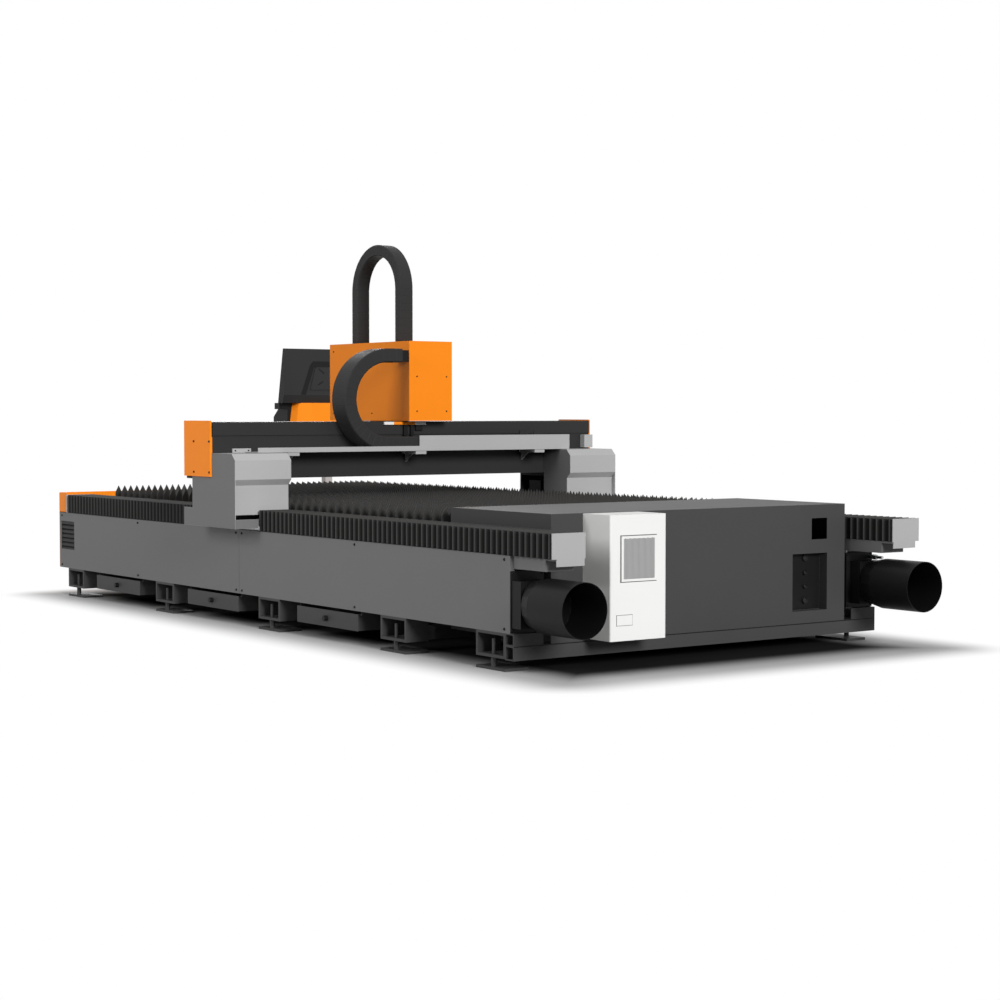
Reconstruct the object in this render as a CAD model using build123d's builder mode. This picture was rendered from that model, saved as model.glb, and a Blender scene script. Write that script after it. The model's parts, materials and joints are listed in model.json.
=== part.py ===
from build123d import *
import os
from math import cos, pi, sin

# Fiber laser cutting machine: an open slat bed, a gantry that runs along it and a head carriage.
# Millimetres. +Z is up, +X points to the cabinet at the rear, and the origin is on the floor under
# the middle of the machine. A "run" is a distance forward from the rear end of the side panels.

os.makedirs("parts", exist_ok=True)

# Bed: overall sizes
bed_length = 4540
bed_width = 2090
duct_reach = 406
console_reach = 340
sheet = 3
clearance = 0.3

# Bed: feet
foot_runs = (140, 893, 2025, 3167, 4313)
foot_length = 210
foot_width = 120
foot_thickness = 12
foot_tube_bottom = 53
foot_tube_wall = 12
bolt_flats = 21
bolt_inset = 18

# Bed: base tubes under the cabinet
base_tube = 60
base_wall = 5
base_bottom = 50
base_rear_reach = 25
corner_length = 153
bearer_place = 600
bearer_front = 850

# Bed: side panels and the side beams behind them, which are also the fume channels
panel_bottom = 161
panel_top = 483
panel_return = 18
panel_seam = 2330
panel_seam_gap = 2
side_beam_inner = 880
side_beam_top = 430
side_beam_wall = 6
port_length = 320
port_height = 120
port_runs = (1440, 2580, 3720)

# Bed: cross beams and the inner beams below them
cross_size = 80
cross_bottom = 221
cross_wall = 5
inner_beam_size = 60
inner_beam_place = 430
inner_beam_start = 740
inner_beam_end = 4500

# Bed: rail beams, guide rails and racks
rail_beam_top = 484
rail_beam_inner = 886
rail_beam_wall = 8
rail_beam_reach = 290
rail_beam_notch = 70
rail_beam_end = 4430
rail_place = 1003
rail_width = 23
rail_height = 22
rail_reach = 200
rail_end = 4400
rack_inner = 905
rack_width = 22
rack_height = 25

# Bed: slats and ledges
slat_count = 45
slat_spacing = 77.2
slat_first = 800
slat_thickness = 5
slat_half = 846
slat_bottom = 545
slat_height = 100
tooth_height = 37
tooth_count = 6
ledge_width = 60
ledge_wall = 6
ledge_bottom = 380
ledge_start = 745
ledge_end = 4250

# Bed: vents at the front of the side panels
vent_start = 4335
vent_length = 185
vent_bottom = 270
vent_height = 164
vent_lap = 8
vent_depth = 12
vent_border = 6
vent_blades = 6
vent_gap_share = 0.5

# Bed: front end cover
front_cover_bottom = 165
front_cover_top = 600
front_ear_start = 4433.3
front_ear_bottom = 488
front_ear_round = 14

# Rear cabinet, laser source and air conditioner
cabinet_reach = 20
cabinet_front = 720
cabinet_half = 850
cabinet_top = 647
lid_thickness = 3
window_size = 97
window_middle = 689
window_bottom = 491
pocket_width = 216
pocket_middle = 630.5
pocket_bottom = 165.5
pocket_height = 262
pocket_depth = 50
source_length = 560
source_width = 480
source_height = 180
source_middle = -250
source_bevel = 10
ac_width = 300
ac_middle = -533
ac_depth = 187
ac_bottom = 123
ac_top = 648
ac_round = 8
grille_width = 188
grille_middle = -534
grille_bottom = 370
grille_height = 189
grille_depth = 6
grille_border = 10
grille_bands = 7
grille_gap_share = 0.55

# Exhaust ducts
duct_place = 971.5
duct_height = 283
duct_radius = 115
duct_wall = 2
duct_box_width = 140
duct_box_height = 196
taper_sides = 16
duct_box_length = 70
duct_taper_length = 100
flange_thickness = 6
flange_inner = 877
flange_bottom = 164
flange_top = 420

# Bellows over the guideways
bellows_inner = 881
bellows_outer = 1050
bellows_top = 589
bellows_pitch = 110
bellows_fold = 14
bellows_skin = 1.5
bellows_roof = 570
end_plate = 4
end_plate_drop = 30

# Scrap drawers and their runners
drawer_runs = (1470, 2618, 3748)
drawer_length = 530
drawer_front_length = 556
drawer_inner = 385
drawer_bottom = 68
drawer_top = 146
drawer_sheet = 2
drawer_rim = 12
knob_radius = 11
knob_length = 18
runner_leg = 15
runner_wall = 3
runner_gap = 2
runner_inner = 400

# Operator console
console_y = 835
post_size = 50
post_wall = 4
post_start = 4605
post_bottom = 190
bracket_heights = (230, 480)
bracket_height = 60
desk_bottom = 900
desk_top = 1130
desk_runs = (4600, 4650, 4700)
desk_halves = (125, 195, 215)
desk_flare_share = 1.14
panel_flat_end = 4775
panel_edge_top = 1040
panel_edge_bottom = 1010
panel_foot_run = 4770
panel_half = 250
shelf_half = 310
shelf_bottom = 1090
shelf_end = 4760
monitor_width = 640
monitor_top = 1475
monitor_back = 4620
monitor_front_top = 4632
monitor_front_bottom = 4697
monitor_bevel_top = 1180
monitor_bevel_run = 4640
arch_foot_width = 290
arch_head_width = 190
arch_bottom = 1200
arch_top = 1380
arch_round = 40
arch_groove = 14
arch_depth = 5
screen_bezel = 22
screen_depth = 4
stop_radius = 20
stop_height = 18
stop_place = 150
start_radius = 14
start_height = 10
start_place = 80
stem_size = 18
stem_length = 24
press_travel = 6

# Gantry: beam, cover and end caps
beam_run = 2340
beam_depth = 280
beam_overhang = 141
beam_bottom = 737
beam_height = 210
beam_wall = 8
cover_joggle = 8
cover_lap = 6
cover_top = 1023
cap_thickness = 12.5
cap_bottom = 750
cap_top = 1030
cap_inset = 2
cap_reach = 4.5
cap_bevel = 4

# Gantry: column covers, saddles, slide blocks and motors
column_depth = 240
column_width = 314.5
column_gap = 3
column_bottom = 520
column_cover_bottom = 566
skirt_return = 130
skirt_return_top = 545
column_top = 868
column_bevel = 33
column_step = 29
column_step_low = 711.6
column_step_high = 740.5
skirt_bottom = 500
skirt_length = 453
skirt_foot_length = 546
skirt_foot_top = 590
saddle_lead = 40
saddle_length = 300
saddle_width = 230
saddle_reach = 85
saddle_plate = 20
saddle_web = 12
x_block_steps = (20, 200)
x_block_length = 100
x_block_width = 60
x_block_bottom = 489
x_motor_step = 160
x_motor_size = 104
x_motor_height = 150
x_shaft_radius = 12
x_pinion_radius = 25
x_pinion_bottom = 486
x_pinion_height = 25
mesh_gap = 0.5

# Gantry: cable tray
tray_depth = 150
tray_floor = 870
tray_sheet = 3
tray_start = -1010
tray_end = 937
tray_step = -50
tray_lip = 25
tray_wall = 80
tab_places = (-760, -40, 720)
tab_width = 5
tab_height = 60
tab_reach = 90

# Gantry: cross rails and rack on the front of the beam
y_rail_heights = (780, 930)
y_rail_width = 20
y_rail_depth = 22
y_rack_bottom = 825
y_rack_height = 20
y_rack_depth = 20

# Drag chains
y_chain_inset = 8
y_chain_width = 136
y_chain_thickness = 71
y_chain_radius = 229
y_chain_bend = -235
y_chain_upper = 85
y_chain_lower = 935
y_chain_links = 26
anchor_length = 60
anchor_wall = 5
anchor_height = 100
z_chain_rear_step = 237.5
z_chain_front_step = 92.5
z_chain_middle = 45
z_chain_width = 80
z_chain_thickness = 59
z_chain_top = 1980
z_chain_links = 30
link_gap = 0.6

# Carriage
carriage_y = 59.5
plate_width = 250
plate_thickness = 20
plate_bottom = 745
plate_top = 1400
bridge_bottom = 1040
bridge_thickness = 12
bridge_length = 385
box_lead = 405
box_length = 810
box_width = 270
box_bottom = 1026
box_top = 1446
leg_gap = 4
y_block_length = 80
y_block_height = 46
y_block_spacing = 150
y_block_depth = 27
y_block_gap = 8
y_motor_size = 90
y_motor_length = 150
y_shaft_radius = 10
y_pinion_radius = 22
arm_height = 60
arm_depth = 96
arm_wall = 4

# Head slide, cutting head and nozzle
mount_depth = 125
mount_width = 150
mount_bottom = 950
mount_top = 1250
mount_wall = 12
z_rail_width = 15
z_rail_depth = 15
z_rail_spacing = 100
motor_shelf = 12
z_motor_size = 80
z_motor_top = 1400
z_screw_step = 17.5
z_screw_radius = 8
z_screw_bottom = 970
slide_thickness = 20
slide_width = 150
slide_bottom = 850
slide_top = 1180
z_block_depth = 28
z_block_gap = 7
z_block_bottom = 1010
z_block_height = 140
z_block_width = 30
nut_width = 44
chain_arm_length = 127
chain_arm_thickness = 12
head_depth = 110
head_width = 110
head_bottom = 930
head_top = 1160
head_bevel = 14
barrel_radius = 38
barrel_bottom = 830
nozzle_radius = 28
round_sides = 24
nozzle_neck = 800
tip_radius = 7
tip_height = 740

# Places worked out from the sizes above
half_width = bed_width / 2
rear_x = (bed_length + console_reach - duct_reach) / 2
base_top = base_bottom + base_tube
beam_front = beam_run + beam_depth
beam_top = beam_bottom + beam_height
beam_half = half_width + beam_overhang
gantry_run = beam_run - column_depth
cap_end = beam_front + cap_reach
column_outer = beam_half + column_gap
column_inner = column_outer - column_width
skirt_front = gantry_run + skirt_length
skirt_foot_front = gantry_run + skirt_foot_length
saddle_run = beam_run - saddle_lead
saddle_outer = half_width + saddle_reach
saddle_inner = saddle_outer - saddle_width
x_block_runs = tuple(saddle_run + step for step in x_block_steps)
x_motor_run = saddle_run + x_motor_step
tray_run = beam_run - tray_depth
y_chain_run = tray_run + y_chain_inset
y_block_run = beam_front + y_block_gap
plate_run = y_block_run + y_block_depth
plate_front = plate_run + plate_thickness
bridge_run = plate_run - bridge_length
box_run = plate_run - box_lead
z_block_run = plate_front + mount_depth + z_block_gap
slide_run = z_block_run + z_block_depth
z_screw_run = slide_run - z_screw_step
chain_arm_end = slide_run + chain_arm_length
z_chain_runs = (box_run + z_chain_rear_step, slide_run + z_chain_front_step)
sides = (-1, 1)


def at(run):
    """X of a place measured forward from the rear end of the side panels."""
    return rear_x - run


def block(runs, y, z, mode=Mode.ADD):
    """A block between two runs, two places across and two heights, put into the open part."""
    middle = ((at(runs[0]) + at(runs[1])) / 2, (y[0] + y[1]) / 2, (z[0] + z[1]) / 2)
    with Locations(middle):
        Box(abs(runs[1] - runs[0]), abs(y[1] - y[0]), abs(z[1] - z[0]), mode=mode)


def tube_section(width, height, wall):
    """The section of a rectangular tube, put into the open sketch."""
    Rectangle(width, height)
    Rectangle(width - 2 * wall, height - 2 * wall, mode=Mode.SUBTRACT)


def outline(points):
    """A face through the given points, put into the open sketch."""
    Polygon(*points, align=None)


def pair(side, inner, outer):
    """Two places across the bed, on one side of it, in rising order."""
    return tuple(sorted((side * inner, side * outer)))


def save(piece, name):
    """Labels a finished piece and writes its STEP file."""
    piece.part.label = name
    export_step(piece.part, f"parts/{name}.step")


# Feet: floor plates, levelling bolts and the short open tubes that they lift
foot_y = half_width - foot_width / 2
foot_places = [(at(run), side * foot_y) for run in foot_runs for side in sides]
bolt_places = [(at(run), side * (half_width - bolt_inset)) for run in foot_runs for side in sides]

with BuildPart() as foot_plates:
    with BuildSketch():
        with Locations(*foot_places):
            Rectangle(foot_length, foot_width)
    extrude(amount=foot_thickness)
save(foot_plates, "foot_plates")

with BuildPart() as levelling_bolts:
    with BuildSketch(Plane.XY.offset(foot_thickness)):
        with Locations(*bolt_places):
            RegularPolygon(bolt_flats / 2, 6, major_radius=False)
    extrude(amount=foot_tube_bottom - foot_thickness)
save(levelling_bolts, "levelling_bolts")

foot_tube_height = panel_bottom - foot_tube_bottom

with BuildPart() as foot_tubes:
    for side in sides:
        with BuildSketch(Plane.XZ.offset(-pair(side, half_width - foot_width, half_width)[1])):
            with Locations(*[(at(run), foot_tube_bottom + foot_tube_height / 2) for run in foot_runs]):
                tube_section(foot_length, foot_tube_height, foot_tube_wall)
        extrude(amount=foot_width)
save(foot_tubes, "foot_tubes")

# Base tubes: the rear tube with its corner tubes, and the bearers under the cabinet
base_rear = base_tube - base_rear_reach

with BuildPart() as base_tubes:
    with BuildSketch(Plane.XZ.offset(-half_width)):
        with Locations((at(base_rear - base_tube / 2), base_bottom + base_tube / 2)):
            tube_section(base_tube, base_tube, base_wall)
    extrude(amount=bed_width)
    corner_height = panel_bottom - base_top - clearance
    for side in sides:
        corner_y = pair(side, half_width - corner_length, half_width)
        with BuildSketch(Plane.XZ.offset(-corner_y[1])):
            with Locations((at(base_rear - base_tube / 2), panel_bottom - corner_height / 2)):
                tube_section(base_tube, corner_height, base_wall)
        extrude(amount=corner_length)
    with BuildSketch(Plane.YZ.offset(at(bearer_front) + clearance)):
        with Locations(*[(side * bearer_place, base_bottom + base_tube / 2) for side in sides]):
            tube_section(base_tube, base_tube, base_wall)
    extrude(amount=bearer_front - base_rear - 2 * clearance)
    cross_half = half_width - foot_width
    with BuildSketch(Plane.XZ.offset(-cross_half)):
        with Locations((at(bearer_front + base_tube / 2), base_bottom + base_tube / 2)):
            tube_section(base_tube, base_tube, base_wall)
    extrude(amount=2 * cross_half)
save(base_tubes, "base_tubes")

# Side beams: box sections with ports that draw fumes from under the slats
side_beam_outer = half_width - panel_return
side_beam_middle = (side_beam_outer + side_beam_inner) / 2
side_beam_width = side_beam_outer - side_beam_inner
side_beam_height = side_beam_top - panel_bottom
side_beam_z = panel_bottom + side_beam_height / 2

with BuildPart() as side_beams:
    with BuildSketch(Plane.YZ.offset(at(bed_length))):
        with Locations(*[(side * side_beam_middle, side_beam_z) for side in sides]):
            tube_section(side_beam_width, side_beam_height, side_beam_wall)
    extrude(amount=bed_length)
    for run in port_runs:
        for side in sides:
            block(
                (run - port_length / 2, run + port_length / 2),
                pair(side, side_beam_inner, side_beam_inner + side_beam_wall),
                (side_beam_z - port_height / 2, side_beam_z + port_height / 2),
                mode=Mode.SUBTRACT,
            )
save(side_beams, "side_beams")

# Rail beams: cut back under the rear end, with the guide rails and racks on top
with BuildPart() as rail_beams:
    for side in sides:
        block(
            (-rail_beam_reach, rail_beam_end),
            pair(side, rail_beam_inner, side_beam_outer),
            (side_beam_top, rail_beam_top),
        )
        block(
            (rail_beam_notch + rail_beam_wall - rail_beam_reach, rail_beam_end),
            pair(side, rail_beam_inner + rail_beam_wall, side_beam_outer - rail_beam_wall),
            (side_beam_top + rail_beam_wall, rail_beam_top - rail_beam_wall),
            mode=Mode.SUBTRACT,
        )
        block(
            (-rail_beam_reach, rail_beam_notch - rail_beam_reach),
            pair(side, rail_beam_inner, side_beam_outer),
            (side_beam_top, rail_beam_top - rail_beam_wall),
            mode=Mode.SUBTRACT,
        )
save(rail_beams, "rail_beams")

with BuildPart() as rails_and_racks:
    with BuildSketch(Plane.YZ.offset(at(rail_end))):
        for side in sides:
            with Locations((side * rail_place, rail_beam_top + rail_height / 2)):
                Rectangle(rail_width, rail_height)
            with Locations((side * (rack_inner + rack_width / 2), rail_beam_top + rack_height / 2)):
                Rectangle(rack_width, rack_height)
    extrude(amount=rail_end + rail_reach)
save(rails_and_racks, "rails_and_racks")

# Cross beams between the side beams, and the inner beams that hold the drawer runners
with BuildPart() as cross_beams:
    with BuildSketch(Plane.XZ.offset(-side_beam_inner)):
        with Locations(*[(at(run), cross_bottom + cross_size / 2) for run in foot_runs[1:]]):
            tube_section(cross_size, cross_size, cross_wall)
    extrude(amount=2 * side_beam_inner)
    with BuildSketch(Plane.YZ.offset(at(inner_beam_end))):
        inner_beam_z = cross_bottom - (inner_beam_size + clearance) / 2
        with Locations(*[(side * inner_beam_place, inner_beam_z) for side in sides]):
            tube_section(inner_beam_size, inner_beam_size - clearance, cross_wall)
    extrude(amount=inner_beam_end - inner_beam_start)
save(cross_beams, "cross_beams")

# Ledges on the side beams, and the toothed slats that stand on them
with BuildPart() as slat_ledges:
    for side in sides:
        web_y = pair(side, side_beam_inner - ledge_wall, side_beam_inner)
        leg_y = pair(side, side_beam_inner - ledge_width, side_beam_inner)
        block((ledge_start, ledge_end), web_y, (ledge_bottom, slat_bottom))
        block((ledge_start, ledge_end), leg_y, (slat_bottom - ledge_wall, slat_bottom))
save(slat_ledges, "slat_ledges")

slat_tip = slat_bottom + slat_height
slat_valley = slat_tip - tooth_height
tooth_pitch = 2 * slat_half / tooth_count

with BuildPart() as one_slat:
    with BuildSketch(Plane.YZ.offset(-slat_thickness / 2)):
        saw = [(slat_half, slat_valley), (slat_half, slat_bottom), (-slat_half, slat_bottom)]
        saw.append((-slat_half, slat_valley))
        for tooth in range(tooth_count):
            saw.append((tooth_pitch * (tooth + 1 / 2) - slat_half, slat_tip))
            if tooth < tooth_count - 1:
                saw.append((tooth_pitch * (tooth + 1) - slat_half, slat_valley))
        outline(saw)
    extrude(amount=slat_thickness)

with BuildPart() as slats:
    with Locations(*[(at(slat_first + i * slat_spacing), 0, 0) for i in range(slat_count)]):
        add(one_slat.part)
save(slats, "slats")

# Side panels: two folded sheets on each side, with a vent window near the front
vent_runs = (vent_start, vent_start + vent_length)
vent_z = (vent_bottom, vent_bottom + vent_height)
seam_half = panel_seam_gap / 2

with BuildPart() as side_panels:
    for side in sides:
        skin_y = pair(side, half_width - sheet, half_width)
        fold_y = pair(side, side_beam_outer, half_width - sheet)
        for runs in ((0, panel_seam - seam_half), (panel_seam + seam_half, bed_length)):
            block(runs, skin_y, (panel_bottom, panel_top))
            block(runs, fold_y, (panel_bottom, panel_bottom + sheet))
            block(runs, fold_y, (panel_top - sheet, panel_top))
            block((runs[0], runs[0] + sheet), fold_y, (panel_bottom, panel_top))
            block((runs[1] - sheet, runs[1]), fold_y, (panel_bottom, panel_top))
        block(vent_runs, skin_y, vent_z, mode=Mode.SUBTRACT)
save(side_panels, "side_panels")

# Louvres behind the vent windows: a frame crossed by sloping blades
blade_pitch = (vent_height - 2 * vent_border) / vent_blades
blade_gap = blade_pitch * vent_gap_share

with BuildPart() as vent_louvres:
    for side in sides:
        face = side * (half_width - sheet)
        back = side * (half_width - sheet - vent_depth)
        block(
            (vent_runs[0] - vent_lap, vent_runs[1] + vent_lap),
            tuple(sorted((face, back))),
            (vent_z[0] - vent_lap, vent_z[1] + vent_lap),
        )
        with BuildSketch(Plane.YZ.offset(at(vent_runs[1] - vent_border))):
            for blade in range(vent_blades):
                low = vent_z[0] + vent_border + blade * blade_pitch
                high = low + blade_gap
                outline([(face, low), (back, high), (back, high + blade_gap), (face, high)])
        extrude(amount=vent_length - 2 * vent_border, mode=Mode.SUBTRACT)
save(vent_louvres, "vent_louvres")

# Front end cover: a sheet across the bed that turns round both upper corners
with BuildPart() as front_end_cover:
    block(
        (bed_length, bed_length + sheet),
        (-half_width, half_width),
        (front_cover_bottom, front_cover_top),
    )
    for side in sides:
        ear_y = pair(side, half_width - sheet, half_width)
        block((front_ear_start, bed_length + sheet), ear_y, (front_ear_bottom, front_cover_top))
    ear_edges = edges().filter_by(Axis.Y).group_by(Axis.X)[-1].group_by(Axis.Z)[-1]
    fillet(ear_edges, front_ear_round)
save(front_end_cover, "front_end_cover")

# Rear cabinet: a sheet box with a square window and a pocket for the service sockets
cabinet_runs = (-cabinet_reach, cabinet_front)
pocket_y = (pocket_middle - pocket_width / 2, pocket_middle + pocket_width / 2)
pocket_z = (pocket_bottom, pocket_bottom + pocket_height)
pocket_floor = pocket_depth - cabinet_reach

with BuildPart() as rear_cabinet:
    block(cabinet_runs, (-cabinet_half, cabinet_half), (base_top, cabinet_top))
    block(
        (cabinet_runs[0] + sheet, cabinet_runs[1] - sheet),
        (sheet - cabinet_half, cabinet_half - sheet),
        (base_top + sheet, cabinet_top),
        mode=Mode.SUBTRACT,
    )
    block(
        (-cabinet_reach, pocket_floor + sheet),
        (pocket_y[0] - sheet, pocket_y[1] + sheet),
        (pocket_z[0] - sheet, pocket_z[1] + sheet),
    )
    block((-cabinet_reach, pocket_floor), pocket_y, pocket_z, mode=Mode.SUBTRACT)
    block(
        (-cabinet_reach, sheet - cabinet_reach),
        (window_middle - window_size / 2, window_middle + window_size / 2),
        (window_bottom, window_bottom + window_size),
        mode=Mode.SUBTRACT,
    )
save(rear_cabinet, "rear_cabinet")

with BuildPart() as cabinet_lid:
    block(cabinet_runs, (-cabinet_half, cabinet_half), (cabinet_top, cabinet_top + lid_thickness))
save(cabinet_lid, "cabinet_lid")

with BuildPart() as laser_source:
    with BuildSketch(Plane.XY.offset(base_top + sheet)):
        with Locations((at((cabinet_front - cabinet_reach) / 2), source_middle)):
            Rectangle(source_length, source_width)
    extrude(amount=source_height)
    chamfer(edges().filter_by(Axis.X).group_by(Axis.Z)[-1], source_bevel)
save(laser_source, "laser_source")

# Air conditioner on the cabinet's rear wall, with its banded grille
with BuildPart() as ac_housing:
    with BuildSketch(Plane.YZ.offset(at(-cabinet_reach))):
        with Locations((ac_middle, (ac_bottom + ac_top) / 2)):
            Rectangle(ac_width, ac_top - ac_bottom)
    extrude(amount=ac_depth)
    fillet(edges().filter_by(Axis.Z).group_by(Axis.X)[-1], ac_round)
save(ac_housing, "ac_housing")

with BuildPart() as ac_grille:
    with BuildSketch(Plane.YZ.offset(at(-cabinet_reach - ac_depth))):
        band_pitch = (grille_width - 2 * grille_border) / grille_bands
        with Locations((grille_middle, grille_bottom + grille_height / 2)):
            Rectangle(grille_width, grille_height)
            with GridLocations(band_pitch, 0, grille_bands, 1):
                Rectangle(
                    band_pitch * grille_gap_share,
                    grille_height - 2 * grille_border,
                    mode=Mode.SUBTRACT,
                )
    extrude(amount=grille_depth)
save(ac_grille, "ac_grille")

# Exhaust ducts: a flange on each fume channel, a box section, a faceted taper and a round collar
flange_middle = (flange_inner + half_width) / 2
flange_height = flange_top - flange_bottom
taper_start = -duct_box_length
collar_start = -duct_box_length - duct_taper_length


def oval(middle, across, up, sides):
    """Points of a faceted ring round a middle, in the plane of the ring."""
    turns = [2 * pi * step / sides for step in range(sides)]
    return [(middle[0] + across * cos(turn), middle[1] + up * sin(turn)) for turn in turns]


def taper(start, end):
    """Solid between two rings of as many points, with flat facets."""
    skin = [Face(Wire.make_polygon(start)), Face(Wire.make_polygon(end))]
    for here, turn in enumerate(start):
        after = (here + 1) % len(start)
        skin.append(Face(Wire.make_polygon([turn, start[after], end[after]])))
        skin.append(Face(Wire.make_polygon([turn, end[after], end[here]])))
    return Solid(Shell(skin))


for name, side in (("left", -1), ("right", 1)):
    middle = (side * duct_place, duct_height)
    with BuildPart() as duct:
        with BuildSketch(Plane.YZ.offset(at(0))):
            with Locations((side * flange_middle, flange_bottom + flange_height / 2)):
                Rectangle(half_width - flange_inner, flange_height)
        extrude(amount=flange_thickness)
        for trim, mode in ((0, Mode.ADD), (duct_wall, Mode.SUBTRACT)):
            box_size = (duct_box_width - 2 * trim, duct_box_height - 2 * trim)
            with BuildSketch(Plane.YZ.offset(at(0))):
                with Locations(middle):
                    Rectangle(*box_size)
            extrude(amount=duct_box_length - trim, mode=mode)
            small = oval(middle, box_size[0] / 2, box_size[1] / 2, taper_sides)
            large = oval(middle, duct_radius - trim, duct_radius - trim, taper_sides)
            small_ring = [(at(taper_start) - trim, y, z) for y, z in small]
            large_ring = [(at(collar_start), y, z) for y, z in large]
            add(taper(small_ring, large_ring), mode=mode)
            with BuildSketch(Plane.YZ.offset(at(collar_start))):
                with Locations(middle):
                    Circle(duct_radius - trim)
            extrude(amount=duct_reach + collar_start, mode=mode)
    save(duct, f"{name}_exhaust_duct")

# Bellows: pleats over the top and down both sides of each guideway
column_rear = gantry_run + column_step
saddle_front = saddle_run + saddle_length
bellows_bottom = rail_beam_top + clearance
bellows_middle = (bellows_inner + bellows_outer) / 2
bellows_half = (bellows_outer - bellows_inner) / 2
bellows_spans = (
    ("rear_bellows", -rail_beam_reach, column_rear - clearance),
    ("front_bellows", saddle_front + clearance, rail_beam_end),
)

for name, start, end in bellows_spans:
    pleats = round((end - start) / bellows_pitch)
    step = (end - start) / pleats
    low_half = bellows_half - bellows_fold
    ridges = [(at(start + i * step), at(start + (i + 1 / 2) * step)) for i in range(pleats)]
    with BuildPart() as bellows:
        with BuildSketch(Plane.XZ.offset(-bellows_outer)):
            roof = [(at(end), bellows_bottom), (at(start), bellows_bottom)]
            for valley, peak in ridges:
                roof.append((valley, bellows_top - bellows_fold))
                roof.append((peak, bellows_top))
            roof.append((at(end), bellows_top - bellows_fold))
            outline(roof)
        extrude(amount=2 * bellows_outer)
        with BuildSketch(Plane.XY.offset(bellows_bottom)):
            for side in sides:
                wave = []
                for valley, peak in ridges:
                    wave.append((valley, low_half))
                    wave.append((peak, bellows_half))
                wave.append((at(end), low_half))
                plan = [(x, side * bellows_middle + y) for x, y in wave]
                plan.extend((x, side * bellows_middle - y) for x, y in reversed(wave))
                outline(plan)
        extrude(amount=bellows_top - bellows_bottom, mode=Mode.INTERSECT)
        for side in sides:
            room = low_half - bellows_skin
            block(
                (start, end),
                (side * bellows_middle - room, side * bellows_middle + room),
                (bellows_bottom, bellows_roof),
                mode=Mode.SUBTRACT,
            )
    save(bellows, name)

with BuildPart() as bellows_end_plates:
    for side in sides:
        plate_y = pair(side, bellows_inner, bellows_outer)
        lip_y = pair(side, rail_beam_inner, side_beam_outer)
        lip_z = (rail_beam_top - end_plate_drop, rail_beam_top)
        for runs in (
            (-rail_beam_reach - end_plate, -rail_beam_reach),
            (rail_beam_end, rail_beam_end + sheet),
        ):
            block(runs, plate_y, (rail_beam_top, bellows_top))
            block(runs, lip_y, lip_z)
save(bellows_end_plates, "bellows_end_plates")

# Drawer runners: angles hung from the side beams and the inner beams
rim_low = drawer_top - drawer_sheet
runner_top = rim_low - clearance
runner_half = drawer_length / 2 + drawer_rim + runner_gap

with BuildPart() as drawer_runners:
    for run in drawer_runs:
        for side in sides:
            runner_y = pair(side, runner_inner, side_beam_outer)
            for end in (-1, 1):
                web = run + end * runner_half
                block((web, web + end * runner_wall), runner_y, (runner_top - runner_wall, panel_bottom))
                leg = web + end * runner_wall - end * runner_leg
                block((web, leg), runner_y, (runner_top - runner_wall, runner_top))
save(drawer_runners, "drawer_runners")

# Scrap drawers: open trays that hang by their rims, with a front plate and a knob
drawer_number = 0
for side in sides:
    for run in drawer_runs:
        drawer_number += 1
        tray_y = pair(side, drawer_inner, half_width)
        room_y = pair(side, drawer_inner + drawer_sheet, half_width - drawer_sheet)
        rim_y = pair(side, drawer_inner, side_beam_outer)
        tray_half = drawer_length / 2
        rim_half = tray_half + drawer_rim
        front_half = drawer_front_length / 2
        with BuildPart() as drawer:
            block((run - tray_half, run + tray_half), tray_y, (drawer_bottom, drawer_top))
            block((run - rim_half, run + rim_half), rim_y, (rim_low, drawer_top))
            block(
                (run - front_half, run + front_half),
                pair(side, half_width - drawer_sheet, half_width),
                (drawer_bottom, drawer_top),
            )
            block(
                (run - tray_half + drawer_sheet, run + tray_half - drawer_sheet),
                room_y,
                (drawer_bottom + drawer_sheet, drawer_top),
                mode=Mode.SUBTRACT,
            )
            with BuildSketch(Plane.XZ.offset(-side * half_width)):
                with Locations((at(run), (drawer_bottom + drawer_top) / 2)):
                    RegularPolygon(knob_radius, 12)
            extrude(amount=-side * knob_length)
        save(drawer, f"drawer_{drawer_number}")

# Console post: a square tube held to the front end of the bed by two brackets
cover_face = bed_length + sheet
post_y = (console_y - post_size / 2, console_y + post_size / 2)

with BuildPart() as console_post:
    with BuildSketch(Plane.XY.offset(post_bottom)):
        with Locations((at(post_start + post_size / 2), console_y)):
            tube_section(post_size, post_size, post_wall)
    extrude(amount=desk_bottom - post_bottom)
    for height in bracket_heights:
        block((cover_face, post_start), post_y, (height, height + bracket_height))
save(console_post, "console_post")


def desk_plan(flare, trim):
    """Plan of the console's rear shell: a flat back with two facets on each side."""
    right = []
    for run, half in zip(desk_runs, desk_halves):
        right.append((at(run + trim), console_y + half * flare - trim))
    left = [(x, 2 * console_y - y) for x, y in reversed(right)]
    return right + left


# Console desk: a faceted shell behind the controls, wider at its foot and open in front
with BuildPart() as console_desk:
    for trim, mode in ((0, Mode.ADD), (sheet, Mode.SUBTRACT)):
        with BuildSketch(Plane.XY.offset(desk_bottom + trim)):
            outline(desk_plan(desk_flare_share, trim))
        with BuildSketch(Plane.XY.offset(desk_top - trim)):
            outline(desk_plan(1, trim))
        loft(ruled=True, mode=mode)
save(console_desk, "console_desk")

# Desk panel: the dark front of the console, with a sloping face for the controls
panel_end = bed_length + console_reach
slope_x = at(panel_flat_end) - at(panel_end)
slope_z = desk_top - panel_edge_top
slope_length = (slope_x**2 + slope_z**2) ** 0.5
face_out = Vector(-slope_z / slope_length, 0, slope_x / slope_length)
face_middle = Vector((at(panel_flat_end) + at(panel_end)) / 2, console_y, (desk_top + panel_edge_top) / 2)
controls = (
    ("e_stop_button", stop_place, stop_radius, stop_height),
    ("start_button", -start_place, start_radius, start_height),
)

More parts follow.
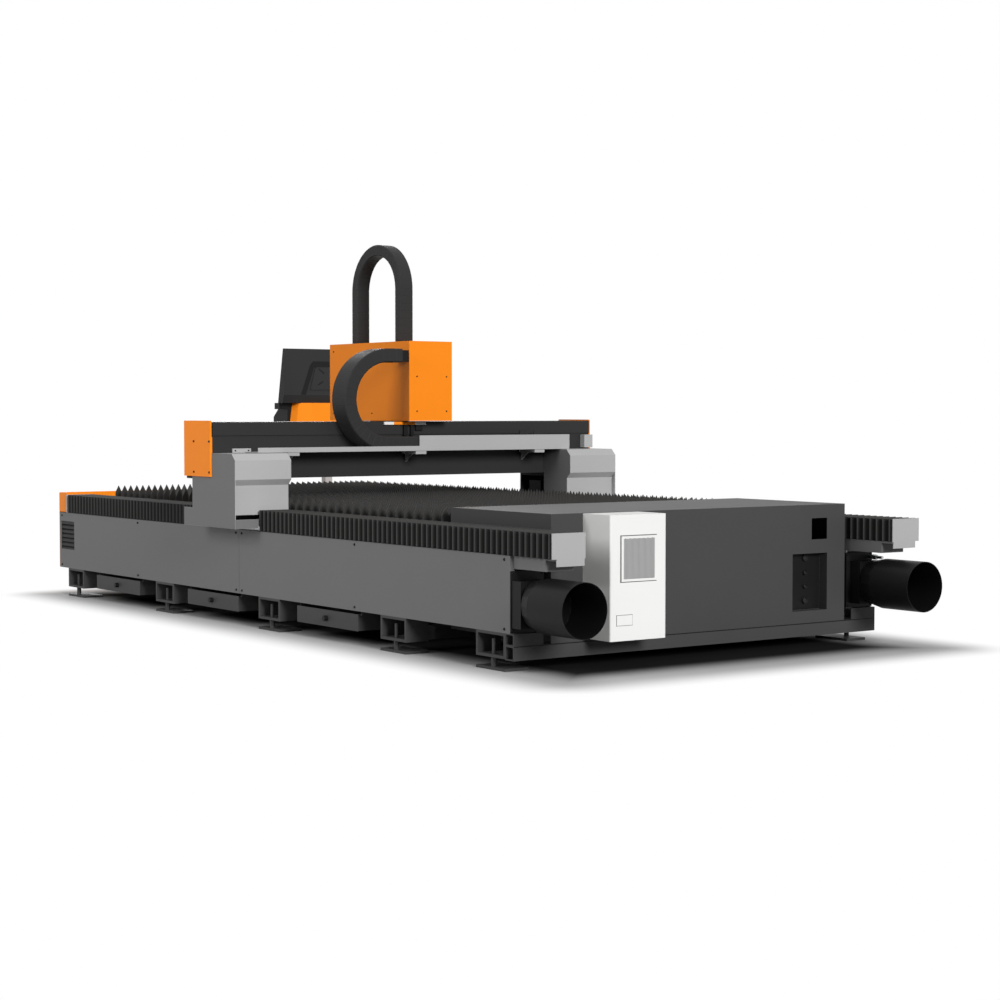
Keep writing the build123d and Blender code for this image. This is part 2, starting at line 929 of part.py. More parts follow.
with BuildPart() as desk_panel:
    with BuildSketch(Plane.XZ.offset(-console_y)):
        outline(
            [
                (at(desk_runs[2]), desk_bottom),
                (at(desk_runs[2]), desk_top),
                (at(panel_flat_end), desk_top),
                (at(panel_end), panel_edge_top),
                (at(panel_end), panel_edge_bottom),
                (at(panel_foot_run), desk_bottom),
            ]
        )
    extrude(amount=panel_half, both=True)
    shelf_y = (console_y - shelf_half, console_y + shelf_half)
    block((desk_runs[2], shelf_end), shelf_y, (shelf_bottom, desk_top))
    for _, place, _, _ in controls:
        spot = face_middle + Vector(0, place, 0)
        with BuildSketch(Plane(origin=spot, x_dir=(0, 1, 0), z_dir=face_out)):
            Rectangle(stem_size + 2 * clearance, stem_size + 2 * clearance)
        extrude(amount=-(stem_length + press_travel), mode=Mode.SUBTRACT)
save(desk_panel, "desk_panel")

# Buttons: a cap on a stem that slides into the sloping face
for name, place, radius, height in controls:
    spot = face_middle + Vector(0, place, 0)
    cap_plane = Plane(origin=spot, x_dir=(0, 1, 0), z_dir=face_out).offset(press_travel + clearance)
    with BuildPart() as button:
        with BuildSketch(cap_plane):
            RegularPolygon(radius, 16)
        extrude(amount=height)
        with BuildSketch(cap_plane):
            Rectangle(stem_size, stem_size)
        extrude(amount=-stem_length)
    save(button, name)

# Monitor: an upright back with an arched groove, and a front that leans back
monitor_half = monitor_width / 2
lean_x = at(monitor_front_top) - at(monitor_front_bottom)
lean_z = monitor_top - desk_top
lean_length = (lean_x**2 + lean_z**2) ** 0.5
screen_out = Vector(-lean_z / lean_length, 0, lean_x / lean_length)
screen_middle_x = (at(monitor_front_top) + at(monitor_front_bottom)) / 2
screen_plane = Plane(
    origin=(screen_middle_x, console_y, (desk_top + monitor_top) / 2), x_dir=(0, 1, 0), z_dir=screen_out
)
screen_width = monitor_width - 2 * screen_bezel
screen_height = lean_length - 2 * screen_bezel
arch_points = [
    (console_y - arch_foot_width / 2, arch_bottom),
    (console_y - arch_head_width / 2, arch_top),
    (console_y + arch_head_width / 2, arch_top),
    (console_y + arch_foot_width / 2, arch_bottom),
]

with BuildPart() as monitor_housing:
    with BuildSketch(Plane.XZ.offset(-console_y)):
        outline(
            [
                (at(monitor_bevel_run), desk_top),
                (at(monitor_back), monitor_bevel_top),
                (at(monitor_back), monitor_top),
                (at(monitor_front_top), monitor_top),
                (at(monitor_front_bottom), desk_top),
            ]
        )
    extrude(amount=monitor_half, both=True)
    with BuildSketch(screen_plane):
        Rectangle(screen_width, screen_height)
    extrude(amount=-screen_depth, mode=Mode.SUBTRACT)
    with BuildSketch(Plane.YZ.offset(at(monitor_back))) as groove:
        outline(arch_points)
        fillet(groove.vertices().group_by(Axis.Y)[-1], arch_round)
        offset(amount=-arch_groove, mode=Mode.SUBTRACT)
    extrude(amount=-arch_depth, mode=Mode.SUBTRACT)
save(monitor_housing, "monitor_housing")

with BuildPart() as screen:
    with BuildSketch(screen_plane.offset(-screen_depth)):
        Rectangle(screen_width - 2 * clearance, screen_height - 2 * clearance)
    extrude(amount=screen_depth - clearance)
save(screen, "screen")

# Gantry beam: a box section across the bed
beam_middle_x = at(beam_run + beam_depth / 2)

with BuildPart() as beam:
    with BuildSketch(Plane.XZ.offset(-beam_half)):
        with Locations((beam_middle_x, beam_bottom + beam_height / 2)):
            tube_section(beam_depth, beam_height, beam_wall)
    extrude(amount=2 * beam_half)
save(beam, "beam")

# Beam cover: a dust cover over the beam, set in a little along its foot
joggle_top = beam_top + cover_joggle
hood_height = cover_top - joggle_top

with BuildPart() as beam_cover:
    with BuildSketch(Plane.XZ.offset(-beam_half)):
        with Locations((beam_middle_x, beam_top + cover_joggle / 2)):
            Rectangle(beam_depth, cover_joggle)
        with Locations((beam_middle_x, joggle_top + hood_height / 2)):
            Rectangle(beam_depth + 2 * cover_lap, hood_height)
        with Locations((beam_middle_x, (beam_top + cover_top - sheet) / 2)):
            Rectangle(beam_depth - 2 * sheet, cover_top - sheet - beam_top, mode=Mode.SUBTRACT)
    extrude(amount=2 * beam_half)
save(beam_cover, "beam_cover")

# End caps: plates over the beam's ends, each with a boss against the beam
with BuildPart() as end_caps:
    for side in sides:
        face_y = pair(side, column_outer, column_outer + cap_thickness)
        block((beam_run + cap_inset, cap_end), face_y, (cap_bottom, cap_top))
        boss_y = pair(side, beam_half, column_outer)
        block((beam_run + cap_inset, beam_front - cap_inset), boss_y, (column_top, beam_top))
    cap_edges = edges().filter_by(Axis.Y).group_by(Axis.Z)[-1]
    chamfer(cap_edges, cap_bevel)
save(end_caps, "end_caps")

# Column covers: stepped sheet housings behind the beam, with a skirt plate outside
column_span = column_outer - column_inner


def column_profile(trim):
    """Side of a column cover: a face with a step below it and a bevel above it."""
    return [
        (at(column_rear + trim), column_cover_bottom - trim),
        (at(column_rear + trim), column_step_low),
        (at(gantry_run + trim), column_step_high),
        (at(gantry_run + trim), column_top - column_bevel),
        (at(gantry_run + column_bevel), column_top - trim),
        (at(beam_run + trim), column_top - trim),
        (at(beam_run + trim), column_cover_bottom - trim),
    ]


with BuildPart() as column_covers:
    for side in sides:
        shell_y = pair(side, column_inner, column_outer)
        with BuildSketch(Plane.XZ.offset(-shell_y[1])):
            outline(column_profile(0))
        extrude(amount=column_span)
        with BuildSketch(Plane.XZ.offset(sheet - shell_y[1])):
            outline(column_profile(sheet))
        extrude(amount=column_span - 2 * sheet, mode=Mode.SUBTRACT)
        skirt_y = pair(side, column_outer - sheet, column_outer)
        block((gantry_run, skirt_front), skirt_y, (skirt_foot_top, column_top - column_bevel))
        block((gantry_run + column_bevel, skirt_front), skirt_y, (column_top - column_bevel, column_top))
        block((gantry_run, skirt_foot_front), skirt_y, (skirt_bottom, skirt_foot_top))
        return_y = pair(side, column_outer - skirt_return, column_outer)
        block((gantry_run, gantry_run + sheet), return_y, (skirt_bottom, skirt_return_top))
save(column_covers, "column_covers")

# Saddles: open frames that carry the beam, with a square opening for each pinion
pinion_y = rack_inner + rack_width + mesh_gap + x_pinion_radius
pinion_room = 2 * (x_pinion_radius + mesh_gap)
saddle_floor = column_bottom + saddle_plate
saddle_height = beam_bottom - column_bottom

with BuildPart() as saddles:
    for side in sides:
        with BuildSketch(Plane.XZ.offset(-pair(side, saddle_inner, saddle_outer)[1])):
            with Locations((at(saddle_run + saddle_length / 2), column_bottom + saddle_height / 2)):
                Rectangle(saddle_length, saddle_height)
                Rectangle(
                    saddle_length - 2 * saddle_web, saddle_height - 2 * saddle_plate, mode=Mode.SUBTRACT
                )
        extrude(amount=saddle_width)
    with BuildSketch(Plane.XY.offset(column_bottom)):
        with Locations(*[(at(x_motor_run), side * pinion_y) for side in sides]):
            Rectangle(pinion_room, pinion_room)
    extrude(amount=saddle_plate, mode=Mode.SUBTRACT)
save(saddles, "saddles")

# Slide blocks under the saddles, each grooved for its guide rail
with BuildPart() as x_slide_blocks:
    for run in x_block_runs:
        with BuildSketch(Plane.YZ.offset(at(run + x_block_length))):
            groove_top = rail_beam_top + rail_height + clearance
            for side in sides:
                with Locations((side * rail_place, (x_block_bottom + column_bottom) / 2)):
                    Rectangle(x_block_width, column_bottom - x_block_bottom)
                with Locations((side * rail_place, (x_block_bottom + groove_top) / 2)):
                    Rectangle(
                        rail_width + 2 * clearance, groove_top - x_block_bottom, mode=Mode.SUBTRACT
                    )
        extrude(amount=x_block_length)
save(x_slide_blocks, "x_slide_blocks")

# Gantry motors in the saddles, each with a shaft and a pinion beside its rack
motor_places = [(at(x_motor_run), side * pinion_y) for side in sides]

with BuildPart() as x_motors:
    with BuildSketch(Plane.XY.offset(saddle_floor)):
        with Locations(*motor_places):
            Rectangle(x_motor_size, x_motor_size)
    extrude(amount=x_motor_height)
    with BuildSketch(Plane.XY.offset(x_pinion_bottom)):
        with Locations(*motor_places):
            RegularPolygon(x_shaft_radius, 8)
    extrude(amount=saddle_floor - x_pinion_bottom)
    with BuildSketch(Plane.XY.offset(x_pinion_bottom)):
        with Locations(*motor_places):
            RegularPolygon(x_pinion_radius, 12)
    extrude(amount=x_pinion_height)
save(x_motors, "x_motors")

# Cable tray behind the beam: a low lip on one half, a tall wall on the other
tray_top = tray_floor + tray_sheet

with BuildPart() as cable_tray:
    lip_runs = (tray_run, tray_run + tray_sheet)
    block((tray_run, beam_run), (tray_start, tray_end), (tray_floor, tray_top))
    block(lip_runs, (tray_start, tray_end), (tray_floor, tray_floor + tray_lip))
    block(lip_runs, (tray_step, tray_end), (tray_floor, tray_floor + tray_wall))
    for place in tab_places:
        with BuildSketch(Plane.XZ.offset(-place)):
            tab_tip = (at(beam_run - tab_reach), tray_floor)
            outline([(at(beam_run), tray_floor), (at(beam_run), tray_floor - tab_height), tab_tip])
        extrude(amount=tab_width, both=True)
save(cable_tray, "cable_tray")

# Cross rails and rack on the front of the beam
with BuildPart() as beam_rails:
    with BuildSketch(Plane.XZ.offset(-beam_half)):
        with Locations(*[(at(beam_front + y_rail_depth / 2), z) for z in y_rail_heights]):
            Rectangle(y_rail_depth, y_rail_width)
        with Locations((at(beam_front + y_rack_depth / 2), y_rack_bottom + y_rack_height / 2)):
            Rectangle(y_rack_depth, y_rack_height)
    extrude(amount=2 * beam_half)
save(beam_rails, "beam_rails")


def chain_station(length, radius, upper):
    """Middle and outward direction at a length along a chain that turns back on itself."""
    turn = pi * radius
    if length <= upper:
        return (upper - length, radius), (0, 1)
    if length <= upper + turn:
        angle = pi / 2 + (length - upper) / radius
        return (radius * cos(angle), radius * sin(angle)), (cos(angle), sin(angle))
    return (length - upper - turn, -radius), (0, -1)


def chain_links(radius, upper, lower, thickness, links):
    """Outlines of a chain's links, in the plane of its bend."""
    pitch = (upper + pi * radius + lower) / links
    half = thickness / 2
    found = []
    for link in range(links):
        near, near_out = chain_station(link * pitch + link_gap / 2, radius, upper)
        far, far_out = chain_station((link + 1) * pitch - link_gap / 2, radius, upper)
        found.append(
            [
                (near[0] + near_out[0] * half, near[1] + near_out[1] * half),
                (far[0] + far_out[0] * half, far[1] + far_out[1] * half),
                (far[0] - far_out[0] * half, far[1] - far_out[1] * half),
                (near[0] - near_out[0] * half, near[1] - near_out[1] * half),
            ]
        )
    return found


# Cross chain: from the carriage round into the tray, with the fork that anchors it there
y_chain_low = tray_top + clearance + y_chain_thickness / 2
y_chain_z = y_chain_low + y_chain_radius
y_chain_end = y_chain_bend + y_chain_lower
y_chain_shape = (y_chain_radius, y_chain_upper, y_chain_lower, y_chain_thickness, y_chain_links)

with BuildPart() as y_chain:
    with BuildSketch(Plane.YZ.offset(at(y_chain_run + y_chain_width))):
        for points in chain_links(*y_chain_shape):
            outline([(u + y_chain_bend, v + y_chain_z) for u, v in points])
    extrude(amount=y_chain_width)
save(y_chain, "y_chain")

with BuildPart() as chain_anchor:
    anchor_runs = (y_chain_run, y_chain_run + y_chain_width)
    anchor_y = (y_chain_end, y_chain_end + anchor_length)
    block(anchor_runs, anchor_y, (tray_top, tray_top + anchor_height))
    block(
        (anchor_runs[0] + anchor_wall, anchor_runs[1] - anchor_wall),
        anchor_y,
        (tray_top + anchor_wall, tray_top + anchor_height),
        mode=Mode.SUBTRACT,
    )
save(chain_anchor, "chain_anchor")

# Carriage plate in front of the beam, with a bridge over it to the rear
plate_half = plate_width / 2
pinion_z = y_rack_bottom + y_rack_height + mesh_gap + y_pinion_radius
bridge_half = box_width / 2 - sheet

with BuildPart() as carriage_plate:
    block(
        (plate_run, plate_front),
        (carriage_y - plate_half, carriage_y + plate_half),
        (plate_bottom, plate_top),
    )
    block(
        (bridge_run, plate_front),
        (carriage_y - bridge_half, carriage_y + bridge_half),
        (bridge_bottom, bridge_bottom + bridge_thickness),
    )
    with BuildSketch(Plane.YZ.offset(at(plate_front))):
        with Locations((carriage_y, pinion_z)):
            RegularPolygon(y_shaft_radius + clearance, 8)
    extrude(amount=plate_thickness, mode=Mode.SUBTRACT)
save(carriage_plate, "carriage_plate")

# Carriage cover: a folded box over the carriage, open below, with two holes for the head chain
box_runs = (box_run, box_run + box_length)
box_half = box_width / 2

with BuildPart() as carriage_cover:
    block(box_runs, (carriage_y - box_half, carriage_y + box_half), (box_bottom, box_top))
    block(
        (box_runs[0] + sheet, box_runs[1] - sheet),
        (carriage_y - box_half + sheet, carriage_y + box_half - sheet),
        (box_bottom, box_top - sheet),
        mode=Mode.SUBTRACT,
    )
    for run in z_chain_runs:
        hole_half = z_chain_thickness / 2 + leg_gap
        hole_side = z_chain_width / 2 + leg_gap
        block(
            (run - hole_half, run + hole_half),
            (z_chain_middle - hole_side, z_chain_middle + hole_side),
            (box_top - sheet, box_top),
            mode=Mode.SUBTRACT,
        )
save(carriage_cover, "carriage_cover")

# Slide blocks of the carriage, each grooved for its cross rail
with BuildPart() as y_slide_blocks:
    for height in y_rail_heights:
        for end in (-1, 1):
            middle_y = carriage_y + end * y_block_spacing / 2
            block_y = (middle_y - y_block_length / 2, middle_y + y_block_length / 2)
            groove_half = y_rail_width / 2 + clearance
            block(
                (y_block_run, plate_run),
                block_y,
                (height - y_block_height / 2, height + y_block_height / 2),
            )
            block(
                (y_block_run, beam_front + y_rail_depth + clearance),
                block_y,
                (height - groove_half, height + groove_half),
                mode=Mode.SUBTRACT,
            )
save(y_slide_blocks, "y_slide_blocks")

# Carriage motor, with its shaft through the plate and its pinion over the rack
with BuildPart() as y_motor:
    with BuildSketch(Plane.YZ.offset(at(plate_front + y_motor_length))):
        with Locations((carriage_y, pinion_z)):
            Rectangle(y_motor_size, y_motor_size)
    extrude(amount=y_motor_length)
    with BuildSketch(Plane.YZ.offset(at(plate_front))):
        with Locations((carriage_y, pinion_z)):
            RegularPolygon(y_shaft_radius, 8)
    extrude(amount=plate_front - beam_front - mesh_gap)
    with BuildSketch(Plane.YZ.offset(at(beam_front + y_rack_depth))):
        with Locations((carriage_y, pinion_z)):
            RegularPolygon(y_pinion_radius, 12)
    extrude(amount=y_rack_depth - mesh_gap)
save(y_motor, "y_motor")

# Bracket on the cover that takes the upper end of the cross chain
arm_y = (y_chain_bend + y_chain_upper, carriage_y - box_half)
arm_z = y_chain_z + y_chain_radius
arm_runs = (box_run + arm_wall, box_run + arm_wall + arm_depth)

with BuildPart() as chain_bracket:
    block(arm_runs, arm_y, (arm_z - arm_height / 2, arm_z + arm_height / 2))
    block(
        (arm_runs[0] + arm_wall, arm_runs[1] - arm_wall),
        (arm_y[0], arm_y[1] - arm_wall),
        (arm_z - arm_height / 2 + arm_wall, arm_z + arm_height / 2),
        mode=Mode.SUBTRACT,
    )
save(chain_bracket, "chain_bracket")

# Head mount in front of the carriage plate, with the head's rails and the motor shelf
mount_front = plate_front + mount_depth
shelf_front = z_screw_run + z_motor_size / 2
rail_places = [carriage_y - z_rail_spacing / 2, carriage_y + z_rail_spacing / 2]

with BuildPart() as z_mount:
    with BuildSketch(Plane.XY.offset(mount_bottom)):
        with Locations((at(plate_front + mount_depth / 2), carriage_y)):
            tube_section(mount_depth, mount_width, mount_wall)
        with Locations(*[(at(mount_front + z_rail_depth / 2), y) for y in rail_places]):
            Rectangle(z_rail_depth, z_rail_width)
    extrude(amount=mount_top - mount_bottom)
    with BuildSketch(Plane.XY.offset(mount_top)):
        with Locations((at((plate_front + shelf_front) / 2), carriage_y)):
            Rectangle(shelf_front - plate_front, mount_width)
        with Locations((at(z_screw_run), carriage_y)):
            RegularPolygon(z_screw_radius + clearance, 8, mode=Mode.SUBTRACT)
    extrude(amount=motor_shelf)
save(z_mount, "z_mount")

with BuildPart() as z_motor:
    with BuildSketch(Plane.XY.offset(mount_top + motor_shelf)):
        with Locations((at(z_screw_run), carriage_y)):
            Rectangle(z_motor_size, z_motor_size)
    extrude(amount=z_motor_top - mount_top - motor_shelf)
    with BuildSketch(Plane.XY.offset(z_screw_bottom)):
        with Locations((at(z_screw_run), carriage_y)):
            RegularPolygon(z_screw_radius, 8)
    extrude(amount=mount_top + motor_shelf - z_screw_bottom)
save(z_motor, "z_motor")

# Head chain: an upright loop from the bridge to the head slide
z_chain_radius = (z_chain_runs[1] - z_chain_runs[0]) / 2
z_chain_run = (z_chain_runs[0] + z_chain_runs[1]) / 2
z_chain_z = z_chain_top - z_chain_thickness / 2 - z_chain_radius
rear_leg = z_chain_z - bridge_bottom - bridge_thickness
front_leg = z_chain_z - slide_top - clearance

with BuildPart() as z_chain:
    with BuildSketch(Plane.XZ.offset(-z_chain_middle)):
        for points in chain_links(z_chain_radius, rear_leg, front_leg, z_chain_thickness, z_chain_links):
            outline([(at(z_chain_run) + v, z_chain_z - u) for u, v in points])
    extrude(amount=z_chain_width / 2, both=True)
save(z_chain, "z_chain")

# Head slide: a plate with an arm for the chain, and the blocks and nut behind it
slide_half = slide_width / 2
slide_front = slide_run + slide_thickness

with BuildPart() as z_slide_plate:
    block(
        (slide_run, slide_front),
        (carriage_y - slide_half, carriage_y + slide_half),
        (slide_bottom, slide_top),
    )
    block(
        (slide_front, chain_arm_end),
        (z_chain_middle - z_chain_width / 2, z_chain_middle + z_chain_width / 2),
        (slide_top - chain_arm_thickness, slide_top),
    )
save(z_slide_plate, "z_slide_plate")

z_groove_depth = mount_front + z_rail_depth + clearance - z_block_run

with BuildPart() as z_slide_blocks:
    with BuildSketch(Plane.XY.offset(z_block_bottom)):
        for y in rail_places:
            with Locations((at(z_block_run + z_block_depth / 2), y)):
                Rectangle(z_block_depth, z_block_width)
            with Locations((at(z_block_run + z_groove_depth / 2), y)):
                Rectangle(z_groove_depth, z_rail_width + 2 * clearance, mode=Mode.SUBTRACT)
        with Locations((at(z_block_run + z_block_depth / 2), carriage_y)):
            Rectangle(z_block_depth, nut_width)
        with Locations((at(z_screw_run), carriage_y)):
            RegularPolygon(z_screw_radius + clearance, 8, mode=Mode.SUBTRACT)
    extrude(amount=z_block_height)
save(z_slide_blocks, "z_slide_blocks")

# Cutting head: a housing on the slide, a round barrel and a nozzle
head_x = at(slide_front + head_depth / 2)

with BuildPart() as cutting_head:
    with BuildSketch(Plane.XY.offset(head_bottom)):
        with Locations((head_x, carriage_y)):
            Rectangle(head_depth, head_width)
    extrude(amount=head_top - head_bottom)
    chamfer(edges().filter_by(Axis.Z).group_by(Axis.X)[0], head_bevel)
    with BuildSketch(Plane.XY.offset(barrel_bottom)):
        with Locations((head_x, carriage_y)):
            RegularPolygon(barrel_radius, round_sides)
    extrude(amount=head_bottom - barrel_bottom)
save(cutting_head, "cutting_head")

neck_ring = oval((head_x, carriage_y), nozzle_radius, nozzle_radius, round_sides)
tip_ring = oval((head_x, carriage_y), tip_radius, tip_radius, round_sides)

with BuildPart() as nozzle:
    with BuildSketch(Plane.XY.offset(nozzle_neck)):
        outline(neck_ring)
    extrude(amount=barrel_bottom - nozzle_neck)
    add(taper([(x, y, nozzle_neck) for x, y in neck_ring], [(x, y, tip_height) for x, y in tip_ring]))
save(nozzle, "nozzle")
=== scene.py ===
"""Looks of a flat-bed fiber laser cutting machine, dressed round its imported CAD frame."""

import json
import logging
import math
from collections.abc import Callable, Iterable
from dataclasses import dataclass, field
from enum import Enum

import bmesh
import bpy
from bmesh.types import BMesh, BMVert
from bpy.types import ID, Material, Node, NodeSocket, NodeTree, Object
from mathutils import Matrix, Vector
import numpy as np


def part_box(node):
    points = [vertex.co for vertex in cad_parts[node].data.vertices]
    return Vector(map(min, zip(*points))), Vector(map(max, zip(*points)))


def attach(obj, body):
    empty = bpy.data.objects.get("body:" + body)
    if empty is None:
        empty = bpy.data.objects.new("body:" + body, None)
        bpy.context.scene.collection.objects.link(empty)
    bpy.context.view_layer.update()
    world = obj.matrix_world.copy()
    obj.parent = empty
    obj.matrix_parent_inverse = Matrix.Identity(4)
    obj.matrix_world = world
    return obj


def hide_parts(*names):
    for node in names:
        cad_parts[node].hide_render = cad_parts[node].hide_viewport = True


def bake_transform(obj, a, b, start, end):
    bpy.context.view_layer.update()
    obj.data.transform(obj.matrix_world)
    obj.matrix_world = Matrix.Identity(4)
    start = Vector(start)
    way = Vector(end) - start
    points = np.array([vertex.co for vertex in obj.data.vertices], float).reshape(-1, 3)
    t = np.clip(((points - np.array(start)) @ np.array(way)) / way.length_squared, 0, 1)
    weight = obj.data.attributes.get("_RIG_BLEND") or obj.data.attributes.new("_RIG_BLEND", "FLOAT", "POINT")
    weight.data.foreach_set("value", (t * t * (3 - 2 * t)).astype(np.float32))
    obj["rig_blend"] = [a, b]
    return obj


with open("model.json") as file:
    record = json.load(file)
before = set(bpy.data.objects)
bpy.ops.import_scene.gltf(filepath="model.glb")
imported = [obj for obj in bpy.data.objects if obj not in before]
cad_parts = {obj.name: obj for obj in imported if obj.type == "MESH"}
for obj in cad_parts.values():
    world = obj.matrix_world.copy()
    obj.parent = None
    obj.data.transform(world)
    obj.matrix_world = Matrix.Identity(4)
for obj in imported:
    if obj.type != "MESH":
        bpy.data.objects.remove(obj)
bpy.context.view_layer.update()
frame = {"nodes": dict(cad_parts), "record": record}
LOG = logging.getLogger("laser_cutter")

MM = 0.001
REAR_X = 2.237
CAP_FACE = 1.198
SIDES = (-1, 1)
# Edges of films and seals, which are too thin for the usual easing.
FILM_BEVEL = 0.0001
# Sockets of the Mix node that take two colours and give the mixed one.
MIX_A, MIX_B, MIX_RESULT = 6, 7, 2
WHITE_LIGHT = (1, 1, 1, 1)

Span = tuple[float, float]
Box = tuple[Span, Span, Span]
Point = tuple[float, float, float]
Sheet = tuple[list[Point], Point]
Place = tuple[Point, tuple[int, int, int]]


def at(run: float) -> float:
    """Turns a place along the bed to the machine's X.

    Args:
        run: The place, in mm forward from the rear end of the side panels.

    Returns:
        X, in metres.
    """
    return REAR_X - run * MM


def linear(hex_colour: str) -> tuple[float, float, float, float]:
    """Turns an sRGB hex colour to linear light.

    Args:
        hex_colour: A colour such as "#F08A1E".

    Returns:
        Linear red, green and blue, and an alpha of 1.
    """
    channels = [int(hex_colour[i : i + 2], 16) / 255 for i in (1, 3, 5)]
    lit = [c / 12.92 if c <= 0.04045 else ((c + 0.055) / 1.055) ** 2.4 for c in channels]
    return (lit[0], lit[1], lit[2], 1.0)


def ease(mesh: BMesh, width: float) -> None:
    """Bevels all edges of a bmesh by a small width."""
    bmesh.ops.bevel(
        mesh,
        geom=mesh.edges[:],
        offset=width,
        offset_type="OFFSET",
        segments=1,
        profile=0.5,
        affect="EDGES",
        material=-1,
    )


def add_rod(
    mesh: BMesh, middle: Vector, out: Vector, radii: Span, length: float, sides: int
) -> list[BMVert]:
    """Adds one closed rod, straight or tapered.

    Args:
        mesh: The bmesh that takes it.
        middle: The middle of its axis.
        out: The way that its axis points.
        radii: Its radius at the foot and at the tip.
        length: Its length.
        sides: How many flat sides it has.

    Returns:
        Its points.
    """
    turn = out.to_track_quat("Z", "Y").to_matrix().to_4x4()
    made = bmesh.ops.create_cone(
        mesh,
        cap_ends=True,
        segments=sides,
        radius1=radii[0],
        radius2=radii[1],
        depth=length,
        matrix=Matrix.Translation(middle) @ turn,
    )
    return made["verts"]


def sink_tip(
    mesh: BMesh, rod: list[BMVert], out: Vector, rim: float, depth: float
) -> None:
    """Sinks the end face of a rod, and leaves a rim round it.

    Args:
        mesh: The bmesh that holds the rod.
        rod: The rod's points.
        out: The way that its axis points.
        rim: The rim's width.
        depth: How deep the face goes.
    """
    faces = {face for vertex in rod for face in vertex.link_faces}
    tip = max(faces, key=lambda face: face.calc_center_median().dot(out))
    bmesh.ops.inset_region(mesh, faces=[tip], thickness=rim)
    bmesh.ops.translate(mesh, verts=tip.verts, vec=out * -depth)


def push(mesh: BMesh, made: dict[str, list], vec: Point) -> None:
    """Moves the points that an extrusion has made, as it gave them back, by a vector."""
    points = [item for item in made["geom"] if isinstance(item, BMVert)]
    bmesh.ops.translate(mesh, verts=points, vec=vec)


def sweep(mesh: BMesh, geom: list, steps: int, dvec: Point, copies: bool = False) -> None:
    """Repeats points, edges or faces in a straight row.

    Args:
        mesh: The bmesh that holds them.
        geom: What is repeated.
        steps: How many times.
        dvec: The way from one to the next.
        copies: Whether each is a copy of its own, not joined to the last.
    """
    bmesh.ops.spin(
        mesh, geom=geom, steps=steps, angle=0, axis=(1, 0, 0), dvec=dvec, use_duplicate=copies
    )


def add_object(name: str, data: ID) -> Object:
    """Makes an object of a mesh, lamp or camera at the origin, and links it to the scene."""
    made = bpy.data.objects.new(name, data)
    bpy.context.scene.collection.objects.link(made)
    return made


def add_node(
    tree: NodeTree,
    kind: str,
    inputs: dict[str | int, object] | None = None,
    **settings: object,
) -> Node:
    """Adds one shader node with its settings, and sets or links its sockets.

    Args:
        tree: The node tree that takes the node.
        kind: The node's type name.
        inputs: Values or output sockets for the node's inputs, by name or number.
        **settings: The node's own properties.

    Returns:
        The new node.
    """
    node = tree.nodes.new(kind)
    for name, value in settings.items():
        setattr(node, name, value)
    for socket, value in (inputs or {}).items():
        if isinstance(value, NodeSocket):
            tree.links.new(value, node.inputs[socket])
        else:
            node.inputs[socket].default_value = value
    return node


